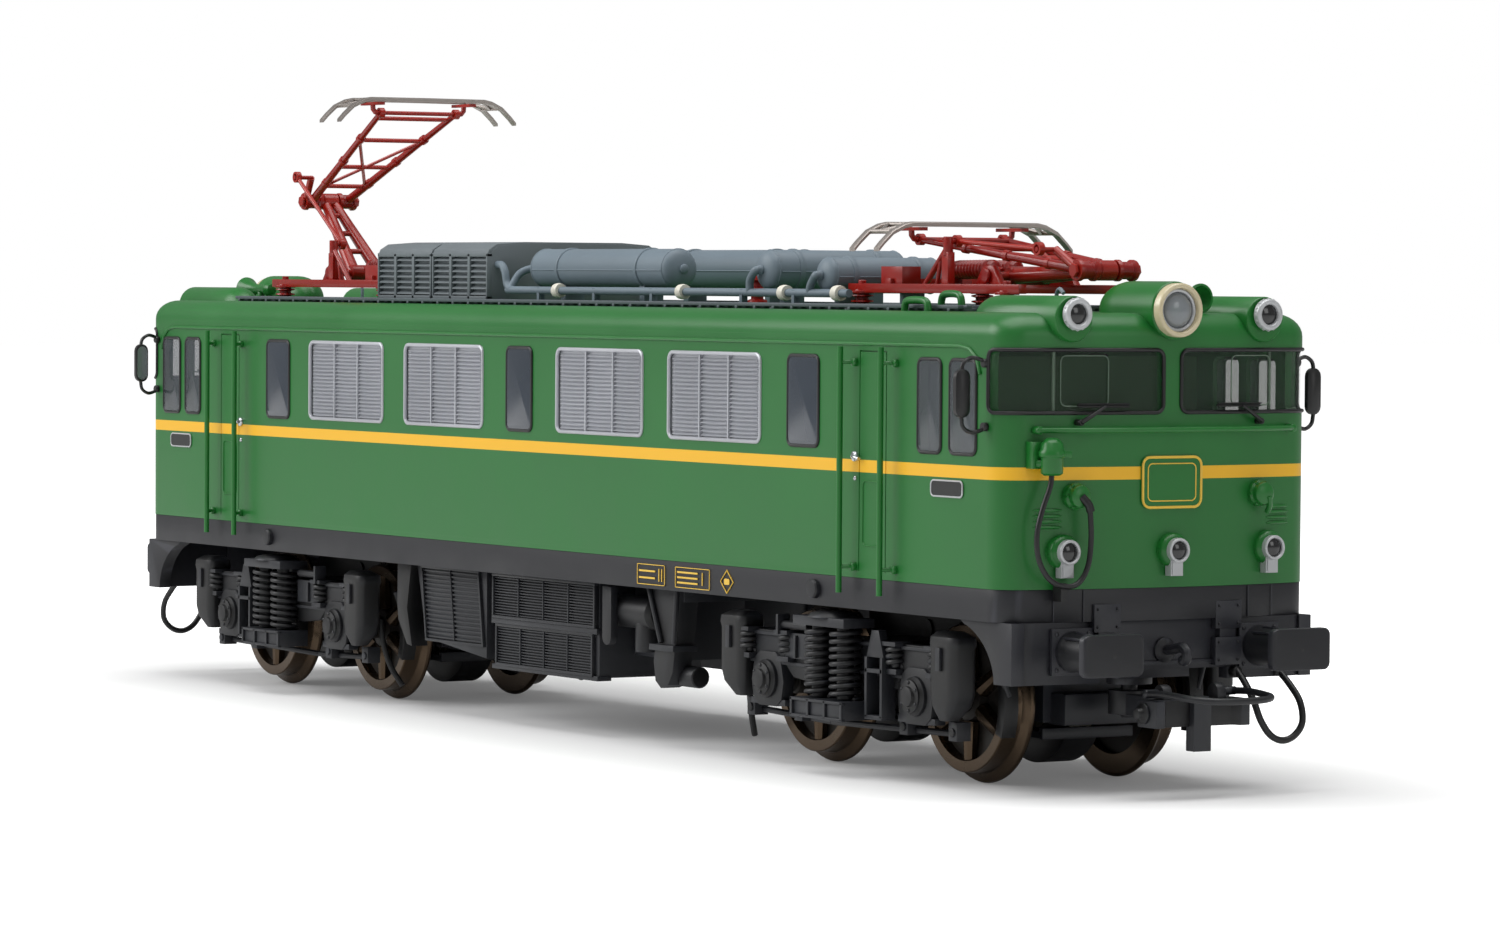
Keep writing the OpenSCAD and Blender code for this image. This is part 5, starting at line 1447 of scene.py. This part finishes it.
def make_wheels():
    tread, flange = 7.2, 8.2
    for number, x in ((1, -PIVOT - HALF_BASE), (2, -PIVOT + HALF_BASE), (3, PIVOT - HALF_BASE),
                      (4, PIVOT + HALF_BASE)):
        part = Part()
        for k in (-1, 1):
            wheel = Part()
            y = k * 7.2
            rim = [(6.0, 0), (flange - 0.3, 0), (flange - 0.05, 0.2), (flange, 0.4), (flange - 0.1, 0.62),
                   (tread + 0.35, 0.85),
                   (tread + 0.08, 1.05), (tread, 1.3), (tread - 0.08, 2.7), (tread - 0.2, 2.8), (6.0, 2.8),
                   (5.9, 2.6), (5.9, 0.2)]
            open_lathe(wheel, rim, (0, y, 0), (0, k, 0), 72)
            disc = [(5.95, 0.9), (5.95, 1.7), (3.4, 1.5), (2.3, 1.6), (2.1, 2.5), (1.3, 2.6), (1.3, 0.4),
                    (2.3, 0.4), (3.0, 0.8)]
            open_lathe(wheel, disc, (0, y, 0), (0, k, 0), 48, m=1)
            for i in range(6):
                t = math.radians(60 * i + 30)
                p = V((2.2 * math.cos(t), y + k * 1.9, 2.2 * math.sin(t)))
                q = V((5.9 * math.cos(t), y + k * 2.0, 5.9 * math.sin(t)))
                wheel.tube([p, q], 0.5, 10, m=0, radii=[0.95, 0.7])
            wheel.lathe([(1.2, 2.6), (1.2, 5.2), (1.0, 5.4)], (0, y, 0), (0, k, 0), 20, m=1)
            part.add(wheel)
        part.bar((0, -7.3, 0), (0, 7.3, 0), 1.18, n=24, m=0)
        gear = Part()
        teeth, r = 21, 5.85
        outline = []
        for i in range(teeth):
            for f, rr in ((0.0, r - 0.55), (0.28, r - 0.5), (0.38, r), (0.62, r), (0.72, r - 0.5)):
                t = 2 * math.pi * (i + f) / teeth
                outline.append((rr * math.cos(t), rr * math.sin(t)))
        gear.prism(outline, (0, 1.2, 0), X, Z, 2.4, m=2)
        part.add(gear)
        piece(f"wheels_{number}", Part().add(part, [moved(x, 0, AXLE_Z)]), [WHEEL, WHEEL_DARK, NYLON],
              f"axle_{number}",
              [f"wheelset_{number}"], angle=32)


# underfloor equipment


def louvre_face(x0, x1, z0, z1, y, columns, rows, lean=0.0):
    """Framed louvre panel facing -Y; lean shifts x with height."""
    part = Part()

    def slab(a0, a1, b0, b1, y0, y1):
        pts = [(a0 + lean * (b0 - z0), b0), (a1 + lean * (b0 - z0), b0), (a1 + lean * (b1 - z0), b1),
               (a0 + lean * (b1 - z0), b1)]
        part.prism(pts, (0, y1, 0), X, Z, y1 - y0)

    t = 0.3
    for a, b, c, d in ((x0, x1, z0, z0 + t), (x0, x1, z1 - t, z1), (x0, x0 + t, z0 + t, z1 - t),
                       (x1 - t, x1, z0 + t, z1 - t)):
        slab(a, b, c, d, y - 0.35, y + 0.2)
    width = (x1 - x0 - 2 * t) / columns
    for c in range(1, columns):
        x = x0 + t + width * c
        slab(x - 0.08, x + 0.08, z0 + t, z1 - t, y - 0.3, y + 0.2)
    for r in range(rows):
        z = z0 + t + (z1 - z0 - 2 * t) * (r + 0.25) / rows
        slab(x0 + t, x1 - t, z, z + (z1 - z0 - 2 * t) / rows * 0.45, y - 0.2, y + 0.15)
    return part


def make_underfloor():
    part = Part()
    side = Part()
    side.box(-9.5, 13, -15.4, -3, 6.4, 17.1)
    side.box(-9.6, 13.1, -15.8, -15.2, 11.0, 11.6)
    side.add(louvre_face(-9.3, 12.8, 11.6, 16.4, -15.6, 4, 14))
    side.add(louvre_face(-8.7, 12.2, 6.5, 11.0, -15.5, 4, 13))
    side.box(-9.6, 13.1, -15.7, -14.0, 6.1, 6.6)
    body = [(-27.2, 16.9), (-11.2, 16.9), (-11.2, 7.0), (-24.2, 8.4), (-25.4, 10.0)]
    side.prism(list(reversed(body)), (0, -4.0, 0), X, Z, 11.5)
    side.add(louvre_face(-24.6, -11.4, 8.2, 16.5, -15.5, 2, 16, lean=-0.14))
    side.box(13.6, 23.4, -11.5, -4, 8.8, 17.1)
    side.lathe([(0, 0), (1.2, 0.1), (1.7, 0.5), (1.7, 8.4), (1.2, 8.9), (0, 9.0)], (13.9, -13.8, 13.6), X, 24)
    side.lathe([(1.3, 0), (1.3, 3.0), (0.9, 3.4), (0.9, 3.8)], (20.4, -13.9, 9.6), Z, 20)
    side.prism(arc(0.6, 1.0, 0.9, 180, 360, 8) + [(1.5, 6.2), (-0.3, 6.2)], (15.2, -15.4, 10.0), X, Z, 0.8)
    side.bar((15.8, -16.0, 11.0), (15.8, -15.3, 11.0), 0.35, n=12)
    # bracket that leans towards the bogie, with the rounded foot
    bracket = [(23.8, 16.8), (30.4, 16.8), (29.8, 12.4), (29.4, 10.8), (28.9, 8.0), (28.0, 6.7),
               (26.6, 6.3), (25.5, 7.0), (25.1, 9.0),
               (25.4, 10.6), (26.8, 11.2), (25.6, 13.4)]
    side.prism(list(reversed(bracket)), (0, -13.8, 0), X, Z, 2.2)
    for a, b in (((24.4, 16.6), (26.9, 11.0)), ((30.0, 16.6), (29.5, 11.0))):
        side.bar((a[0], -16.2, a[1]), (b[0], -16.2, b[1]), 0.28, n=10)
    side.box(25.0, 29.8, -16.5, -13.6, 10.2, 10.8)
    side.bar((27.6, -14.0, 7.6), (31.2, -14.0, 7.6), 1.1, n=18)
    side.box(24.2, 30.6, -15.6, -6, 15.3, 17.1)
    mirror = [(-30.8, 16.8), (-27.6, 16.8), (-28.6, 11.6), (-28.2, 10.2), (-27.4, 7.4), (-28.6, 7.6),
              (-30.6, 10.2), (-30.9, 12.0)]
    side.prism(mirror, (0, -16.0, 0), X, Z, -2.0)
    part.add(side, SIDES)
    part.box(-26, 23, -4.2, 4.2, 12, 17.1)
    piece("underfloor_cases", part, BLACK, ROOT, ["underfloor_boxes"], bevel=0.06, angle=35)


# CAD nodes that keep their shape

KEPT = {"chassis_frame": CAST, "motor_housing": CHROME, "motor_rotor": BRASS, "cardan_shafts": NYLON,
        "worm_1": BRASS,
        "worm_2": BRASS, "drive_gear_1": NYLON, "drive_gear_2": NYLON, "bogie_frame_1": BLACK,
        "bogie_frame_2": BLACK,
        "circuit_board": BOARD, "cab_interiors": CAB, "body_screws": CHROME}


def dress_kept_nodes():
    for name, mat in KEPT.items():
        mesh = frame["nodes"][name].data
        mesh.materials.clear()
        mesh.materials.append(mat)


# floor, light and camera


def seen_by_camera(tree, lit, seen):
    """Value that is lit for bounced light and seen for the camera."""
    span = add_node(tree, "MapRange", {"To Min": lit, "To Max": seen})
    tree.links.new(add_node(tree, "LightPath").outputs["Is Camera Ray"], span.inputs["Value"])
    return span.outputs["Result"]


def floor_glow_with_painted_shadow(tree):
    """Glow for the camera only, which fades out towards the object and so paints a soft shadow halo on the
    floor round it.
    """
    squash = add_node(tree, "VectorMath", {1: (0.22, 1, 0)}, operation="MULTIPLY")
    tree.links.new(add_node(tree, "TexCoord").outputs["Object"], squash.inputs[0])
    away = add_node(tree, "VectorMath", operation="LENGTH")
    tree.links.new(squash.outputs["Vector"], away.inputs[0])
    # painted shadow: the glow drops near the object, which darkens the floor there whatever the lights do
    painted_shadow_fade = add_node(tree, "MapRange", interpolation_type="SMOOTHSTEP")
    for key, value in zip(("From Min", "From Max", "To Min", "To Max"), PAINTED_SHADOW_REACH + FLOOR_GLOW_IN_PAINTED_SHADOW_AND_CLEAR):
        painted_shadow_fade.inputs[key].default_value = value
    tree.links.new(away.outputs["Value"], painted_shadow_fade.inputs["Value"])
    both = add_node(tree, "Math", operation="MULTIPLY")
    tree.links.new(seen_by_camera(tree, 0.0, 1.0), both.inputs[0])
    tree.links.new(painted_shadow_fade.outputs["Result"], both.inputs[1])
    return both.outputs["Value"]


def make_stage():
    mesh = bpy.data.meshes.new("floor")
    reach = 3.0
    corners = [(-reach, -reach, 0), (reach, -reach, 0), (reach, reach, 0), (-reach, reach, 0)]
    mesh.from_pydata(corners, [], [(0, 1, 2, 3)])
    floor = new_object("floor", mesh)
    mat, tree, shader = new_material("pale_floor")
    for key, value in (("Base Color", (0.8, 0.8, 0.8, 1)), ("Roughness", 0.9), ("Specular IOR Level", 0.0),
                       ("Emission Color", (1, 1, 1, 1))):
        shader.inputs[key].default_value = value
    tree.links.new(floor_glow_with_painted_shadow(tree), shader.inputs["Emission Strength"])
    mesh.materials.append(mat)
    world = bpy.data.worlds.new("studio")
    bpy.context.scene.world = world
    world.use_nodes = True
    background = world.node_tree.nodes["Background"]
    background.inputs["Color"].default_value = (1, 1, 1, 1)
    room = seen_by_camera(world.node_tree, ROOM_LIGHT, 1.0)
    world.node_tree.links.new(room, background.inputs["Strength"])


def area_light(name, place, target, size, power):
    data = bpy.data.lights.new(name, "AREA")
    data.shape = "RECTANGLE"
    data.size, data.size_y = size
    data.energy = power
    obj = new_object(name, data)
    obj.location = place
    obj.rotation_euler = (V(target) - V(place)).to_track_quat("-Z", "Y").to_euler()


ROOM_LIGHT = 0.29
# floor glow inside the painted shadow near the object and far from it, then the reach over which that painted
# shadow fades out
FLOOR_GLOW_IN_PAINTED_SHADOW_AND_CLEAR = (0.12, 0.8)
PAINTED_SHADOW_REACH = (0.02, 0.075)


def make_lights():
    area_light("key_side", (-0.45, -0.7, 0.5), (0, 0, 0.02), (0.7, 0.5), 5.6)
    area_light("top_soft", (0.1, 0.0, 0.8), (0, 0, 0), (0.9, 0.7), 6.2)
    area_light("front_fill", (0.9, 0.25, 0.3), (0.08, 0, 0.03), (0.3, 0.3), 0.5)


def make_camera():
    """Camera at the measured viewing angle: aimed low along the body, nearly level."""
    azimuth, elevation, roll = (math.radians(a) for a in (58.162, 1.986, 0.382))
    distance, target = 579.0, V((21.305, 0, 27.96))
    focal, width, height = 5531.0, 1500, 938
    centre = (767.69, 473.28)
    back = V((math.sin(azimuth) * math.cos(elevation), -math.cos(azimuth) * math.cos(elevation),
              math.sin(elevation)))
    right = V((math.cos(azimuth), math.sin(azimuth), 0))
    up = back.cross(right)
    tilted_right = right * math.cos(roll) + up * math.sin(roll)
    tilted_up = up * math.cos(roll) - right * math.sin(roll)
    data = bpy.data.cameras.new("camera")
    data.sensor_width = 36.0
    data.lens = focal / width * data.sensor_width
    data.shift_x = (width / 2 - centre[0]) / width
    data.shift_y = (centre[1] - height / 2) / width
    data.clip_start, data.clip_end = 0.02, 20.0
    obj = new_object("camera", data)
    rotation = Matrix((tilted_right, tilted_up, back)).transposed()
    obj.matrix_world = Matrix.Translation((target + back * distance) * MM) @ rotation.to_4x4()
    bpy.context.scene.camera = obj
    bpy.context.scene.view_settings.view_transform = "Standard"


for make in (make_camera, make_stage, make_lights, make_shell, make_shell_trim, make_windows, make_grilles,
             make_rails,
             make_mirrors, make_wipers, make_lamps, make_front_fittings, make_sole, make_end_beams,
             make_buffers,
             make_hoses, make_couplings, make_walkways, make_ventilators, make_tanks, make_roof_pipes,
             make_insulators, make_horns, make_pantographs, make_bogies, make_wheels, make_underfloor,
             dress_kept_nodes):
    make()
